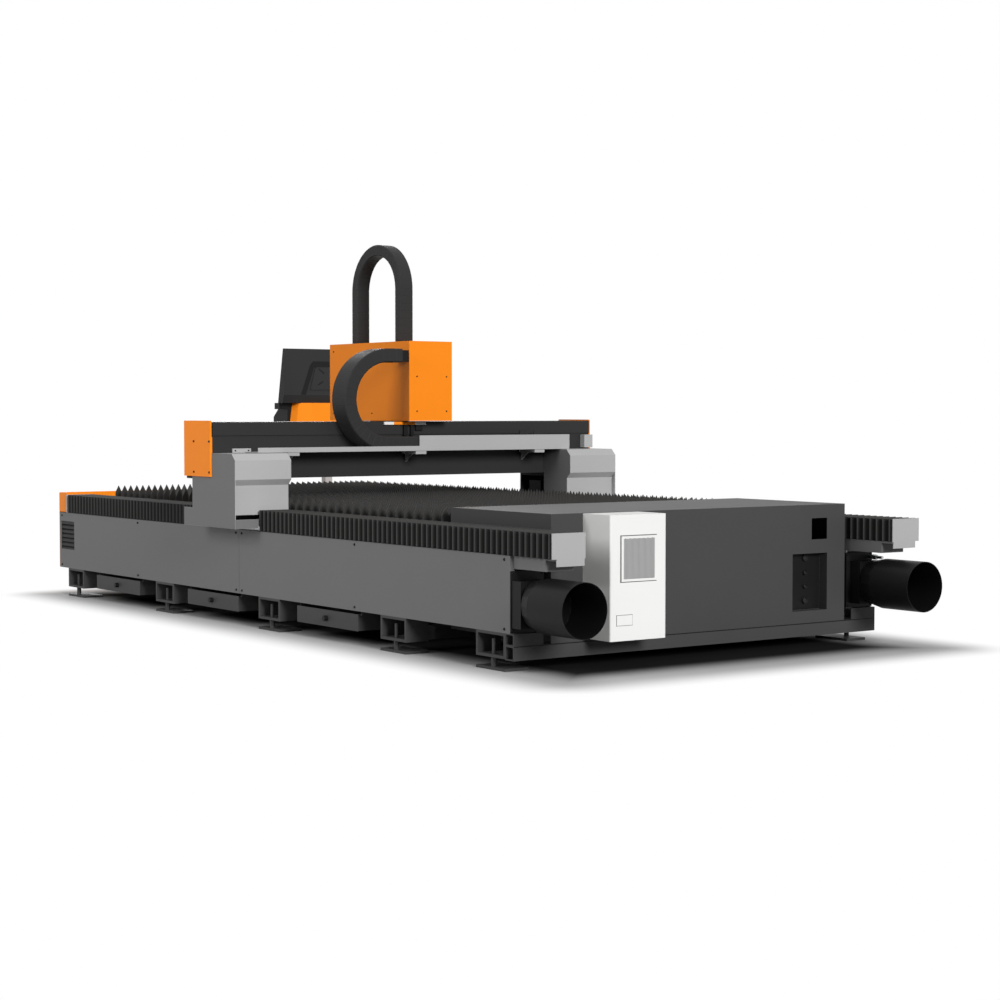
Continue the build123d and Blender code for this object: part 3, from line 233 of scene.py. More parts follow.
@dataclass(frozen=True)
class Finish:
    """One real material and the surface that it was given.

    The grain is the finest relief of the surface, and the drift is the slow change of colour
    that dust and handling give a large face. The colour for the fold ridges is a painted
    highlight where the fold edges would catch the light, and the piece marks its ridges with an
    attribute of that name.
    """

    name: str
    colour: str
    roughness: float
    metallic: float = 0.0
    ior: float = 1.2
    coat: float = 0.0
    grain_mm: float = 0.0
    grain_detail: float = 2.0
    relief: float = 0.0
    relief_mm: float = 0.2
    stretch: Point = (1.0, 1.0, 1.0)
    drift: float = 0.0
    drift_mm: float = 350.0
    drift_detail: float = 4.0
    drift_roughness: float = 0.6
    rough_drift: float = 0.0
    # Colour of the painted highlight along fold ridges, and the power that narrows it to the crests.
    lit_ridge: str = ""
    lit_ridge_power: float = 3.0

    def build(self) -> Material:
        """Makes the material from the finish's values.

        Returns:
            The material, with its nodes.
        """
        material = bpy.data.materials.new(self.name)
        material.use_nodes = True
        material.diffuse_color = linear(self.colour)
        tree = material.node_tree
        shader = tree.nodes["Principled BSDF"]
        values = {
            "Base Color": linear(self.colour),
            "Roughness": self.roughness,
            "Metallic": self.metallic,
            "Coat Weight": self.coat,
        }
        if not self.metallic:
            values["IOR"] = self.ior
        for socket, value in values.items():
            shader.inputs[socket].default_value = value
        place = add_node(tree, "ShaderNodeTexCoord").outputs["Object"]
        if self.grain_mm:
            self.add_grain(tree, place)
        if self.drift or self.rough_drift:
            self.add_drift(tree, place)
        return material

    def add_grain(self, tree: NodeTree, place: NodeSocket) -> None:
        """Adds the finest relief of the surface, for each place on the piece."""
        along = add_node(tree, "ShaderNodeMapping", {"Vector": place, "Scale": self.stretch})
        noise = {
            "Vector": along.outputs["Vector"],
            "Scale": 1 / (self.grain_mm * MM),
            "Detail": self.grain_detail,
        }
        relief = {
            "Height": add_node(tree, "ShaderNodeTexNoise", noise).outputs["Fac"],
            "Strength": self.relief,
            "Distance": self.relief_mm * MM,
        }
        bump = add_node(tree, "ShaderNodeBump", relief)
        tree.links.new(bump.outputs["Normal"], tree.nodes["Principled BSDF"].inputs["Normal"])

    def add_drift(self, tree: NodeTree, place: NodeSocket) -> None:
        """Adds the slow change of colour and gloss, for each place on the piece."""
        shader = tree.nodes["Principled BSDF"]
        noise = {
            "Vector": place,
            "Scale": 1 / (self.drift_mm * MM),
            "Detail": self.drift_detail,
            "Roughness": self.drift_roughness,
        }
        cloud = add_node(tree, "ShaderNodeTexNoise", noise)
        if self.drift:
            base = linear(self.colour)
            dark = tuple(c * (1 - self.drift) for c in base[:3]) + (1.0,)
            light = tuple(min(1.0, c * (1 + self.drift)) for c in base[:3]) + (1.0,)
            mixed = {"Factor": cloud.outputs["Fac"], MIX_A: dark, MIX_B: light}
            tone = add_node(tree, "ShaderNodeMix", mixed, data_type="RGBA")
            tree.links.new(tone.outputs[MIX_RESULT], shader.inputs["Base Color"])
            if self.lit_ridge:
                self.paint_ridge_highlight(tree, tone.outputs[MIX_RESULT])
        if self.rough_drift:
            gloss = {
                "Value": cloud.outputs["Fac"],
                "To Min": self.roughness - self.rough_drift,
                "To Max": self.roughness + self.rough_drift,
            }
            span = add_node(tree, "ShaderNodeMapRange", gloss)
            tree.links.new(span.outputs["Result"], shader.inputs["Roughness"])

    def paint_ridge_highlight(self, tree: NodeTree, tone: NodeSocket) -> None:
        """Paints the colour paler where the piece's own attribute of fold crests is high: a painted
        highlight along the fold ridges, where their edges would catch the light.

        Args:
            tree: The material's node tree.
            tone: The colour that the ridges are laid over.
        """
        height = add_node(tree, "ShaderNodeAttribute", attribute_name="lit_ridge").outputs["Fac"]
        power = {0: height, 1: self.lit_ridge_power}
        crest = add_node(tree, "ShaderNodeMath", power, operation="POWER").outputs[0]
        mixed = {"Factor": crest, MIX_A: tone, MIX_B: linear(self.lit_ridge)}
        ridge_highlight_tone = add_node(tree, "ShaderNodeMix", mixed, data_type="RGBA")
        base = tree.nodes["Principled BSDF"].inputs["Base Color"]
        tree.links.new(ridge_highlight_tone.outputs[MIX_RESULT], base)


class Coat(Enum):
    """The finishes of the machine, by the name of their slot in the record."""

    # Powder coat: baked resin with a faint orange-peel relief, so its gloss is soft and broken.
    # The relief is drawn at 5 to 6 mm, coarser than the real 1 to 2 mm, so that it shows.
    ORANGE = Finish(
        "orange_paint", "#F0861A", 0.38, grain_mm=6, relief=0.06, drift=0.03, rough_drift=0.03
    )
    GREY = Finish(
        "grey_paint", "#6C6C6C", 0.48, grain_mm=5, relief=0.10, drift=0.04, rough_drift=0.04
    )
    LIGHT_GREY = Finish(
        "light_grey_paint", "#A6A6A6", 0.42, grain_mm=6, relief=0.06, drift=0.03, rough_drift=0.03
    )
    DARK_GREY = Finish(
        "dark_grey_paint", "#424242", 0.50, grain_mm=5, relief=0.12, drift=0.05, rough_drift=0.04
    )
    CHARCOAL = Finish(
        "charcoal_paint", "#2C2C2C", 0.45, grain_mm=6, relief=0.08, drift=0.05, rough_drift=0.04
    )
    WHITE = Finish(
        "white_paint", "#E4E4E2", 0.40, grain_mm=6, relief=0.05, drift=0.015, rough_drift=0.03
    )
    BLACK_PAINT = Finish(
        "black_paint", "#181818", 0.40, grain_mm=6, relief=0.06, drift=0.05, rough_drift=0.04
    )
    # Hot-rolled slat steel: dull blue-black scale with paler, worn patches.
    SLAT = Finish(
        "slat_steel", "#343332", 0.62, metallic=0.55, grain_mm=3, relief=0.15,
        drift=0.25, drift_mm=60, rough_drift=0.1,
    )
    # Ground guide steel: bright, with fine marks along the bed.
    STEEL = Finish(
        "bright_steel", "#B4B6B8", 0.32, metallic=1.0, grain_mm=1.5, relief=0.1,
        stretch=(0.02, 1, 1),
    )
    # Matt anodised aluminium: an even silver with hardly any grain.
    ALUMINIUM = Finish("aluminium", "#B9BBBE", 0.38, metallic=1.0, grain_mm=2, relief=0.05)
    # Turned brass: warm and fairly bright.
    BRASS = Finish("brass", "#C9A24A", 0.28, metallic=1.0)
    # Moulded nylon of the chains and housings: matt with a fine spark-eroded grain.
    BLACK_PLASTIC = Finish(
        "black_plastic", "#2B2B2B", 0.50, grain_mm=2, relief=0.12, rough_drift=0.05
    )
    # Coated bellows cloth: a matt black film over a weave. It carries a painted highlight: it is painted
    # grey along its fold ridges, where the fold edges would catch the light.
    CLOTH = Finish(
        "bellows_cloth", "#0E0E0E", 0.72, grain_mm=2.5, relief=0.2,
        drift=0.08, drift_mm=120, lit_ridge="#464645",
    )
    # Glossy caps of the push buttons.
    RED = Finish("red_plastic", "#C81E1E", 0.22, coat=0.3)
    GREEN = Finish("green_plastic", "#1E9A46", 0.22, coat=0.3)
    # Screen that is switched off: smooth dark glass.
    SCREEN = Finish("screen_glass", "#0E1012", 0.08, coat=0.5)


class Dresser:
    """Holds the built materials and puts them on the CAD nodes and the scene's own pieces."""

    def __init__(self) -> None:
        """Builds one material for each finish."""
        self.materials = {coat: coat.value.build() for coat in Coat}
        self.by_slot = {coat.value.name: coat for coat in Coat}

    def paint(self, piece: Object, coat: Coat) -> None:
        """Gives a piece, or a CAD node's object, one finish all over."""
        piece.data.materials.clear()
        piece.data.materials.append(self.materials[coat])

    def paint_cad(self) -> None:
        """Gives each CAD node the finish that the record names for it."""
        for entry in frame["record"]["subparts"]:
            self.paint(frame["nodes"][entry["node"]], self.by_slot[entry["material_slot"]])

    def add_piece(self, name: str, mesh: BMesh, coat: Coat) -> Object:
        """Turns a bmesh into a finished piece at the origin, with flat faces.

        Args:
            name: The piece's name.
            mesh: Its shape, in the machine's frame. It is freed here.
            coat: Its finish.

        Returns:
            The new object.
        """
        for face in mesh.faces:
            face.smooth = False
        data = bpy.data.meshes.new(name)
        mesh.to_mesh(data)
        mesh.free()
        piece = add_object(name, data)
        self.paint(piece, coat)
        LOG.info("%s: %d faces", name, len(data.polygons))
        return piece

    def add_sheets(self, name: str, sheets: Iterable[Sheet], coat: Coat, body: str) -> None:
        """Makes one piece of flat sheets.

        Args:
            name: The piece's name.
            sheets: The outline of each sheet and its thickness as a vector, in metres.
            coat: The finish.
            body: The body that it rides on.
        """
        mesh = bmesh.new()
        for outline, thickness in sheets:
            face = mesh.faces.new([mesh.verts.new(point) for point in outline])
            push(mesh, bmesh.ops.extrude_face_region(mesh, geom=[face]), thickness)
        bmesh.ops.recalc_face_normals(mesh, faces=mesh.faces)
        piece = self.add_piece(name, mesh, coat)
        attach(piece, body)

    def add_boxes(
        self, name: str, boxes: Iterable[Box], coat: Coat, body: str, bevel: float = 0.0008
    ) -> None:
        """Makes one piece of boxes with eased edges.

        Args:
            name: The piece's name.
            boxes: The span of each box along X, Y and Z, in metres.
            coat: The finish.
            body: The body that it rides on.
            bevel: How far the edges are eased.
        """
        mesh = bmesh.new()
        for spans in boxes:
            middle = Vector([(low + high) / 2 for low, high in spans])
            size = [abs(high - low) for low, high in spans]
            place = Matrix.Translation(middle) @ Matrix.Diagonal((*size, 1))
            bmesh.ops.create_cube(mesh, size=1, matrix=place)
        ease(mesh, bevel)
        piece = self.add_piece(name, mesh, coat)
        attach(piece, body)


def follow(
    piece: Object,
    bodies: tuple[str, str],
    ends: tuple[Vector, Vector],
    share: Callable[[Vector], float],
) -> None:
    """Lets a piece stretch between two bodies, with the share of the travel given for each point.

    Args:
        piece: The finished piece.
        bodies: The body that holds the piece's share of 0, and the one that holds its share of 1.
        ends: A point near each of those two.
        share: The share of the second body's travel that a point takes.
    """
    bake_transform(piece, *bodies, start=ends[0], end=ends[1])
    weights = [min(1.0, max(0.0, share(vertex.co))) for vertex in piece.data.vertices]
    piece.data.attributes["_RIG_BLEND"].data.foreach_set("value", weights)


@dataclass
class Bellows:
    """Pleated cloth covers over the guideways, from the bed's ends to the gantry."""

    dresser: Dresser
    inner: float = 0.881
    outer: float = 1.050
    bottom: float = 0.4843
    top: float = 0.589
    fold: float = 0.014
    top_fold: float = 0.006
    pitch: float = 0.040
    skin: float = 0.0012
    spans: dict[str, Span] = field(
        default_factory=lambda: {
            "rear_bellows": (at(-290), at(2128.7)),
            "front_bellows": (at(4430), at(2600.3)),
        }
    )

    def steps(self, fixed: float, moving: float) -> int:
        """Counts the slanting faces along a cover, two for each fold, from its two ends' X."""
        return 2 * round(abs(moving - fixed) / self.pitch)

    def cut(self, fixed: float, moving: float) -> Span:
        """Works out the flat size of a pair of covers, with the two strips laid side by side.

        Args:
            fixed: X of the end that stays with the bed.
            moving: X of the end that goes with the gantry.

        Returns:
            The width and the length of the cloth before it was folded.
        """
        steps = self.steps(fixed, moving)
        girth = 2 * (self.top - self.bottom) + self.outer - self.inner
        return 2 * girth, steps * math.hypot((moving - fixed) / steps, self.fold)

    def sleeve(self, mesh: BMesh, side: int, fixed: float, moving: float) -> None:
        """Adds the pleated cover of one guideway.

        Args:
            mesh: The bmesh that takes it.
            side: -1 or 1, the side of the bed.
            fixed: X of the end that stays with the bed.
            moving: X of the end that goes with the gantry.
        """
        steps = self.steps(fixed, moving)
        corners = (
            (self.inner, self.bottom),
            (self.inner, self.top),
            (self.outer, self.top),
            (self.outer, self.bottom),
        )
        start = [mesh.verts.new((fixed, side * y, z)) for y, z in corners]
        hem = [mesh.edges.new(pair) for pair in zip(start, start[1:])]
        step = (moving - fixed) / steps
        sweep(mesh, start + hem, steps, (step, 0, 0))
        middle = side * (self.inner + self.outer) / 2
        # Marks the rows at the fold crests, which the cloth paints paler as a painted highlight.
        lit_ridge = mesh.verts.layers.float["lit_ridge"]
        for vertex in [v for v in mesh.verts if v.co.y * side > 0]:
            if round((vertex.co.x - fixed) / step) % 2:
                vertex[lit_ridge] = 1.0
            else:
                if abs(vertex.co.z - self.top) < self.fold:
                    vertex.co.z -= self.top_fold
                vertex.co.y += math.copysign(self.fold, middle - vertex.co.y)

    def build(self) -> None:
        """Makes both pairs of covers in place of the CAD nodes."""
        for node, (fixed, moving) in self.spans.items():
            mesh = bmesh.new()
            mesh.verts.layers.float.new("lit_ridge")
            for side in SIDES:
                self.sleeve(mesh, side, fixed, moving)
            bmesh.ops.recalc_face_normals(mesh, faces=mesh.faces)
            bmesh.ops.solidify(mesh, geom=mesh.faces, thickness=self.skin)
            piece = self.dresser.add_piece(f"{node}_folds", mesh, Coat.CLOTH)
            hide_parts(node)
            ends = (Vector((fixed, 0, self.top)), Vector((moving, 0, self.top)))
            follow(
                piece, ("bed", "gantry"), ends, lambda p, a=fixed, b=moving: (p.x - a) / (b - a)
            )


@dataclass
class SlatBed:
    """The toothed slats that carry the sheet."""

    dresser: Dresser
    count: int = 45
    first: float = at(800)
    spacing: float = 0.0772
    half: float = 0.846
    bottom: float = 0.545
    top: float = 0.645
    tooth_height: float = 0.037
    teeth: int = 44
    thickness: float = 0.005

    def build(self) -> None:
        """Makes one saw-edged slat and repeats it along the bed, in place of the CAD slats."""
        mesh = bmesh.new()
        corner = mesh.verts.new((self.first - self.thickness / 2, -self.half, self.bottom))
        half_tooth = self.half / self.teeth
        sweep(mesh, [corner], 2 * self.teeth, (0, half_tooth, 0))
        strip = bmesh.ops.extrude_edge_only(mesh, edges=mesh.edges[:])
        for vertex in [item for item in strip["geom"] if isinstance(item, BMVert)]:
            valley = round((vertex.co.y + self.half) / half_tooth) % 2 == 0
            vertex.co.z = self.top - (self.tooth_height if valley else 0)
        push(mesh, bmesh.ops.extrude_face_region(mesh, geom=mesh.faces[:]), (self.thickness, 0, 0))
        bmesh.ops.recalc_face_normals(mesh, faces=mesh.faces)
        slat = mesh.verts[:] + mesh.edges[:] + mesh.faces[:]
        sweep(mesh, slat, self.count - 1, (-self.spacing, 0, 0), copies=True)
        piece = self.dresser.add_piece("slat_saw_edges", mesh, Coat.SLAT)
        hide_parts("slats")
        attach(piece, "bed")


@dataclass
class DragChain:
    """A cable chain that runs out, turns back on itself and returns.

    A place along it is given in the plane of its bend: u along the runs, away from the bend,
    and v across them, from the middle of the bend.
    """

    dresser: Dresser
    node: str
    bodies: tuple[str, str]
    radius: float
    upper: float
    lower: float
    width: float
    thickness: float
    links: int
    bend_share: float
    axes: Matrix
    groove: float = 0.0006
    groove_width: float = 0.0025
    chamfer: float = 0.005

    def station(self, length: float) -> tuple[Vector, Vector]:
        """Place and direction at a length along the chain, from its moving end.

        Args:
            length: Length along the chain's middle line.

        Returns:
            The place and the unit direction, as (u, v, 0).
        """
        turn = math.pi * self.radius
        if length <= self.upper:
            return Vector((self.upper - length, self.radius, 0)), Vector((-1, 0, 0))
        if length <= self.upper + turn:
            angle = math.pi / 2 + (length - self.upper) / self.radius
            out = Vector((math.cos(angle), math.sin(angle), 0))
            return out * self.radius, Vector((-out.y, out.x, 0))
        return Vector((length - self.upper - turn, -self.radius, 0)), Vector((1, 0, 0))

    def ring(self, mesh: BMesh, length: float, inset: float) -> list[BMVert]:
        """Adds the band's outline at one length: a rectangle with cut corners.

        Args:
            mesh: The bmesh that takes it.
            length: Length along the chain's middle line.
            inset: How far the outline is drawn in.

        Returns:
            The eight points of the outline, in order.
        """
        middle, along = self.station(length)
        across = Vector((-along.y, along.x, 0))
        half, high, cut = self.width / 2 - inset, self.thickness / 2 - inset, self.chamfer
        corners = []
        for side, up in ((1, 1), (-1, 1), (-1, -1), (1, -1)):
            pair = [(side * (half - cut), up * high), (side * half, up * (high - cut))]
            corners += pair if side == -up else pair[::-1]
        points = [middle + across * v + Vector((0, 0, w)) for w, v in corners]
        return [mesh.verts.new(self.axes @ point) for point in points]

    def share(self, point: Vector) -> float:
        """Share of the moving end's travel that a point takes.

        Args:
            point: A point in the machine's frame.

        Returns:
            1 at the moving end, 0 at the fixed end, and the bend's share all round the bend.
        """
        u, v, _ = self.axes.inverted() @ point
        if u <= 0:
            return self.bend_share
        if v > 0:
            return self.bend_share + (1 - self.bend_share) * u / self.upper
        return self.bend_share * (1 - u / self.lower)

    def build(self) -> None:
        """Makes the links in place of the CAD chain: a closed band with a groove at each joint."""
        mesh = bmesh.new()
        total = self.upper + math.pi * self.radius + self.lower
        pitch = total / self.links
        lengths = [(0.0, 0.0)]
        for link in range(self.links):
            start, end = link * pitch, (link + 1) * pitch
            flats = (start + self.groove_width, (start + end) / 2, end - self.groove_width)
            lengths += [(length, 0.0) for length in flats]
            lengths.append((end, self.groove if link < self.links - 1 else 0.0))
        rings = [self.ring(mesh, length, inset) for length, inset in lengths]
        for near, far in zip(rings, rings[1:]):
            for i, vertex in enumerate(near):
                j = (i + 1) % len(near)
                mesh.faces.new((vertex, near[j], far[j], far[i]))
        for end in (rings[0], rings[-1]):
            mesh.faces.new(end)
        bmesh.ops.recalc_face_normals(mesh, faces=mesh.faces)
        piece = self.dresser.add_piece(f"{self.node}_links", mesh, Coat.BLACK_PLASTIC)
        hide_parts(self.node)
        fixed, _ = self.station(total)
        moving, _ = self.station(0)
        follow(piece, self.bodies, (self.axes @ fixed, self.axes @ moving), self.share)


@dataclass
class Fasteners:
    """Button-head screws with a sunk socket, all of one body in one piece."""

    dresser: Dresser
    radius: float = 0.0065
    height: float = 0.0035
    sides: int = 18
    crown: float = 0.72
    rim: float = 0.3
    socket: float = 0.6

    def screw(self, mesh: BMesh, place: Vector, out: Vector, scale: float) -> None:
        """Adds one screw head that stands on a face.

        Args:
            mesh: The bmesh that takes it.
            place: The middle of the head's foot.
            out: The way that the face looks.
            scale: The head's size against the usual one.
        """
        radius, height = self.radius * scale, self.height * scale
        middle = place + out * height / 2
        head = add_rod(mesh, middle, out, (radius, radius * self.crown), height, self.sides)
        sink_tip(mesh, head, out, radius * self.rim, height * self.socket)

    def build(self, name: str, body: str, places: Iterable[Place], scale: float = 1.0) -> None:
        """Makes the screws of one body.

        Args:
            name: The piece's name.
            body: The body that they ride on.
            places: The foot and the outward direction of each screw.
            scale: The heads' size against the usual one.
        """
        mesh = bmesh.new()
        for place, out in places:
            self.screw(mesh, Vector(place), Vector(out), scale)
        piece = self.dresser.add_piece(name, mesh, Coat.BLACK_PAINT)
        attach(piece, body)


@dataclass
class Screws:
    """Where the machine's visible screws are."""

    dresser: Dresser
    small: float = 0.7
    panel_runs: tuple[float, ...] = (40, 1220, 2300, 2360, 3490, 4505)
    panel_face: float = 1.045
    panel_heights: Span = (0.178, 0.466)
    cap_runs: tuple[float, ...] = (2352, 2517)
    cap_heights: Span = (0.772, 0.926)
    cover_rear: float = at(2250)
    cover_rear_y: Span = (-0.027, 0.160)
    cover_rear_heights: Span = (1.077, 1.26)
    cover_left: float = 0.0755
    cover_left_runs: tuple[float, ...] = (2620, 3020)
    cover_right: float = 0.1945
    cover_right_runs: tuple[float, ...] = (2290, 2620, 3020)
    cover_heights: Span = (1.066, 1.406)
    angle_face: float = at(2330)
    angle_y: Span = (-1.062, -0.988)
    angle_height: float = 0.8792
    flange_face: float = 2.243
    flange_y: tuple[float, ...] = (-0.886, -1.036, 0.886, 1.036)
    flange_heights: Span = (0.174, 0.410)

    def on_rear(
        self, face: float, across: Iterable[float], heights: Iterable[float]
    ) -> list[Place]:
        """Lists screws on a face that looks to the rear, at each place across and height."""
        return [((face, y, z), (1, 0, 0)) for y in across for z in heights]

    def on_side(
        self, runs: Iterable[float], face: float, heights: Span, sides: tuple[int, ...]
    ) -> list[Place]:
        """Lists screws on faces that look to the sides.

        Args:
            runs: Their places along the bed, in mm.
            face: How far the face is from the machine's middle, on each of the sides.
            heights: Their heights.
            sides: The sides, -1 or 1.

        Returns:
            The screws' places.
        """
        return [
            ((at(run), side * face, z), (0, side, 0))
            for run in runs
            for side in sides
            for z in heights
        ]

    def build(self) -> None:
        """Makes the screws of each body."""
        panels = self.on_side(self.panel_runs, self.panel_face, self.panel_heights, SIDES)
        caps = self.on_side(self.cap_runs, CAP_FACE, self.cap_heights, SIDES)
        angle = self.on_rear(self.angle_face, self.angle_y, (self.angle_height,))
        cover = self.on_rear(self.cover_rear, self.cover_rear_y, self.cover_rear_heights)
        cover += self.on_side(self.cover_left_runs, self.cover_left, self.cover_heights, (-1,))
        cover += self.on_side(self.cover_right_runs, self.cover_right, self.cover_heights, (1,))
        flanges = self.on_rear(self.flange_face, self.flange_y, self.flange_heights)
        fasteners = Fasteners(self.dresser)
        fasteners.build("panel_screws", "bed", panels)
        fasteners.build("end_cap_screws", "gantry", caps)
        fasteners.build("tray_angle_screws", "gantry", angle, self.small)
        fasteners.build("carriage_cover_screws", "carriage", cover, self.small)
        fasteners.build("duct_flange_screws", "bed", flanges)


@dataclass
class CabinetFittings:
    """Small fittings at the rear.

    They are the sockets and the dark back of the service pocket, the plate and corrugated insert
    of the cooling unit with thin dark outlines of painted shade round its grille and plate, a black
    strip of painted shadow in the gap over the base tube, and the gas nipple. A socket is given
    by its height and radius, and a rod of the nipple by its sides, radius, start and end.
    """

    dresser: Dresser
    pocket_x: float = 2.208
    pocket_y: Span = (0.5245, 0.7365)
    pocket_z: Span = (0.1675, 0.4255)
    socket_y: float = 0.640
    socket_length: float = 0.012
    socket_depth: float = 0.008
    socket_taper: float = 0.94
    socket_rim: float = 0.3
    socket_sides: int = 28
    sockets: tuple[Span, ...] = ((0.405, 0.016), (0.338, 0.011), (0.275, 0.011), (0.210, 0.016))
    plate: Box = ((2.4440, 2.4465), (-0.650, -0.567), (0.188, 0.230))
    film: float = 0.0006
    # Widths of the painted shade outlines round the grille and the plate.
    grille_shade_rim: float = 0.004
    plate_shade_rim: float = 0.002
    # A black film strip over the base tube: a painted shadow in the gap between the base tube and the
    # cabinet.
    base_gap_shadow: Box = ((2.262, 2.2624), (-1.045, 1.045), (0.106, 0.110))
    insert_back: Span = (2.4501, 2.4505)
    insert_ribs: Span = (2.4505, 2.4525)
    insert_y: Span = (-0.617, -0.451)
    insert_z: Span = (0.381, 0.548)
    ribs: int = 26
    rib_share: float = 0.5
    nipple_y: float = 1.030
    nipple_z: float = 0.396
    nipple_rods: tuple[tuple[int, float, float, float], ...] = (
        (20, 0.007, 2.2431, 2.325),
        (6, 0.012, 2.262, 2.290),
    )

    def build(self) -> None:
        """Makes the fittings."""
        self.pocket()
        self.dresser.add_boxes("cooling_unit_plate", [self.plate], Coat.WHITE, "bed")
        self.shade_outlines()
        # Lays the painted shadow strip over the base tube.
        self.film_boxes("rear_base_gap_shadow", [self.base_gap_shadow], Coat.BLACK_PAINT)
        self.insert()
        self.nipple()

    def film_boxes(self, name: str, boxes: Iterable[Box], coat: Coat) -> None:
        """Makes one piece of boxes that are as thin as a film, on the bed."""
        self.dresser.add_boxes(name, boxes, coat, "bed", bevel=FILM_BEVEL)

    def pocket(self) -> None:
        """Makes the round sockets of the service pocket and its dark back."""
        mesh = bmesh.new()
        out = Vector((1, 0, 0))
        for height, radius in self.sockets:
            middle = Vector((self.pocket_x + self.socket_length / 2, self.socket_y, height))
            radii = (radius, radius * self.socket_taper)
            rod = add_rod(mesh, middle, out, radii, self.socket_length, self.socket_sides)
            sink_tip(mesh, rod, out, radius * self.socket_rim, self.socket_depth)
        piece = self.dresser.add_piece("service_sockets", mesh, Coat.BLACK_PLASTIC)
        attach(piece, "bed")
        back = ((self.pocket_x, self.pocket_x + self.film), self.pocket_y, self.pocket_z)
        self.film_boxes("service_pocket_back", [back], Coat.BLACK_PAINT)

    def shade_outlines(self) -> None:
        """Makes thin dark outlines round the cooling unit's grille and plate: painted shade round their
        edges, where the raised grille and plate would cast shadow.
        """
        low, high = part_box("ac_grille")
        grille = ((low[1], high[1]), (low[2], high[2]))
        foot = self.plate[0][0]
        shade_lines = []
        for (across, up), rim in ((grille, self.grille_shade_rim), (self.plate[1:], self.plate_shade_rim)):
            rims = [(span[0] - rim, span[1] + rim) for span in (across, up)]
            shade_lines.append(((foot, foot + self.film), *rims))
        self.film_boxes("cooling_unit_shade_outlines", shade_lines, Coat.GREY)

    def insert(self) -> None:
        """Makes the corrugated insert of the cooling unit's grille."""
        pitch = (self.insert_y[1] - self.insert_y[0]) / self.ribs
        boxes = [(self.insert_back, self.insert_y, self.insert_z)]
        for rib in range(self.ribs):
            left = self.insert_y[0] + rib * pitch
            across = (left, left + self.rib_share * pitch)
            boxes.append((self.insert_ribs, across, self.insert_z))
        self.film_boxes("cooling_unit_insert", boxes, Coat.LIGHT_GREY)

    def nipple(self) -> None:
        """Makes the gas nipple on the right duct's flange: a pipe end with a hexagon on it."""
        mesh = bmesh.new()
        for sides, radius, start, end in self.nipple_rods:
            middle = Vector(((start + end) / 2, self.nipple_y, self.nipple_z))
            add_rod(mesh, middle, Vector((1, 0, 0)), (radius, radius), end - start, sides)
        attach(self.dresser.add_piece("gas_nipple", mesh, Coat.STEEL), "bed")


@dataclass
class ConsoleFittings:
    """The dark frame and slots on the back of the monitor.

    Outlines are given across from the monitor's middle and up. The leg and the slots are those
    of one side, and the other side mirrors them.
    """

    dresser: Dresser
    back: float = at(4620)
    middle: float = 0.835
    proud: float = 0.0015
    slot_width: float = 0.007
    top_bar: tuple[Span, ...] = (
        *((-0.105, 1.396), (0.105, 1.396), (0.127, 1.372)),
        *((0.098, 1.360), (-0.098, 1.360), (-0.127, 1.372)),
    )
    leg: tuple[Span, ...] = ((0.195, 1.183), (0.160, 1.183), (0.0982, 1.3597), (0.1272, 1.3717))
    slots: tuple[tuple[Span, Span], ...] = (
        ((0.065, 1.349), (0.024, 1.319)),
        ((0.069, 1.246), (0.032, 1.267)),
    )

    def sheet(self, outline: Iterable[Span]) -> Sheet:
        """Puts an outline on the monitor's back, as a sheet in the machine's frame."""
        corners = [(self.back, self.middle + across, up) for across, up in outline]
        return corners, (self.proud, 0, 0)

    def slot(self, start: Span, end: Span) -> list[Span]:
        """Draws the outline of a narrow slot, from the middle of one end to the other's."""
        along = Vector((end[0] - start[0], end[1] - start[1], 0)).normalized()
        off = Vector((-along.y, along.x, 0)) * (self.slot_width / 2)
        corners = ((start, 1), (end, 1), (end, -1), (start, -1))
        return [(place[0] + way * off.x, place[1] + way * off.y) for place, way in corners]

    def build(self) -> None:
        """Makes the frame, which is open below, and the four slots inside it."""
        sheets = [self.sheet(self.top_bar)]
        for side in SIDES:
            sheets.append(self.sheet([(side * across, up) for across, up in self.leg]))
            for ends in self.slots:
                start, end = [(side * across, up) for across, up in ends]
                sheets.append(self.sheet(self.slot(start, end)))
        self.dresser.add_sheets("monitor_back_frame", sheets, Coat.BLACK_PAINT, "bed")


@dataclass
class Feet:
    """Levelling screws that stand up inside the foot tubes."""

    dresser: Dresser
    runs: tuple[float, ...] = (140, 893, 2025, 3167, 4313)
    place: float = 1.027
    radius: float = 0.008
    bottom: float = 0.0655
    top: float = 0.130
    sides: int = 20

    def build(self) -> None:
        """Makes one screw for each foot."""
        mesh = bmesh.new()
        height = self.top - self.bottom
        radii = (self.radius, self.radius)
        for run in self.runs:
            for side in SIDES:
                middle = Vector((at(run), side * self.place, (self.bottom + self.top) / 2))
                add_rod(mesh, middle, Vector((0, 0, 1)), radii, height, self.sides)
        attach(self.dresser.add_piece("levelling_screws", mesh, Coat.DARK_GREY), "bed")


@dataclass
class DrawerKnobs:
    """Black knobs on the fronts of the scrap drawers."""

    dresser: Dresser
    middles: tuple[float, ...] = (0.767, -0.381, -1.511)
    reach: Span = (1.0455, 1.0655)
    height: float = 0.107
    radius: float = 0.013
    sides: int = 24
    bevel: float = 0.0015

    def build(self) -> None:
        """Makes one knob for each drawer, over the plain CAD one."""
        radii = (self.radius, self.radius)
        length = self.reach[1] - self.reach[0]
        fronts = [(side, middle) for side in SIDES for middle in self.middles]
        for number, (side, middle) in enumerate(fronts, start=1):
            mesh = bmesh.new()
            place = Vector((middle, side * sum(self.reach) / 2, self.height))
            add_rod(mesh, place, Vector((0, 1, 0)), radii, length, self.sides)
            ease(mesh, self.bevel)
            body = f"drawer_{number}"
            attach(self.dresser.add_piece(f"{body}_knob", mesh, Coat.BLACK_PAINT), body)


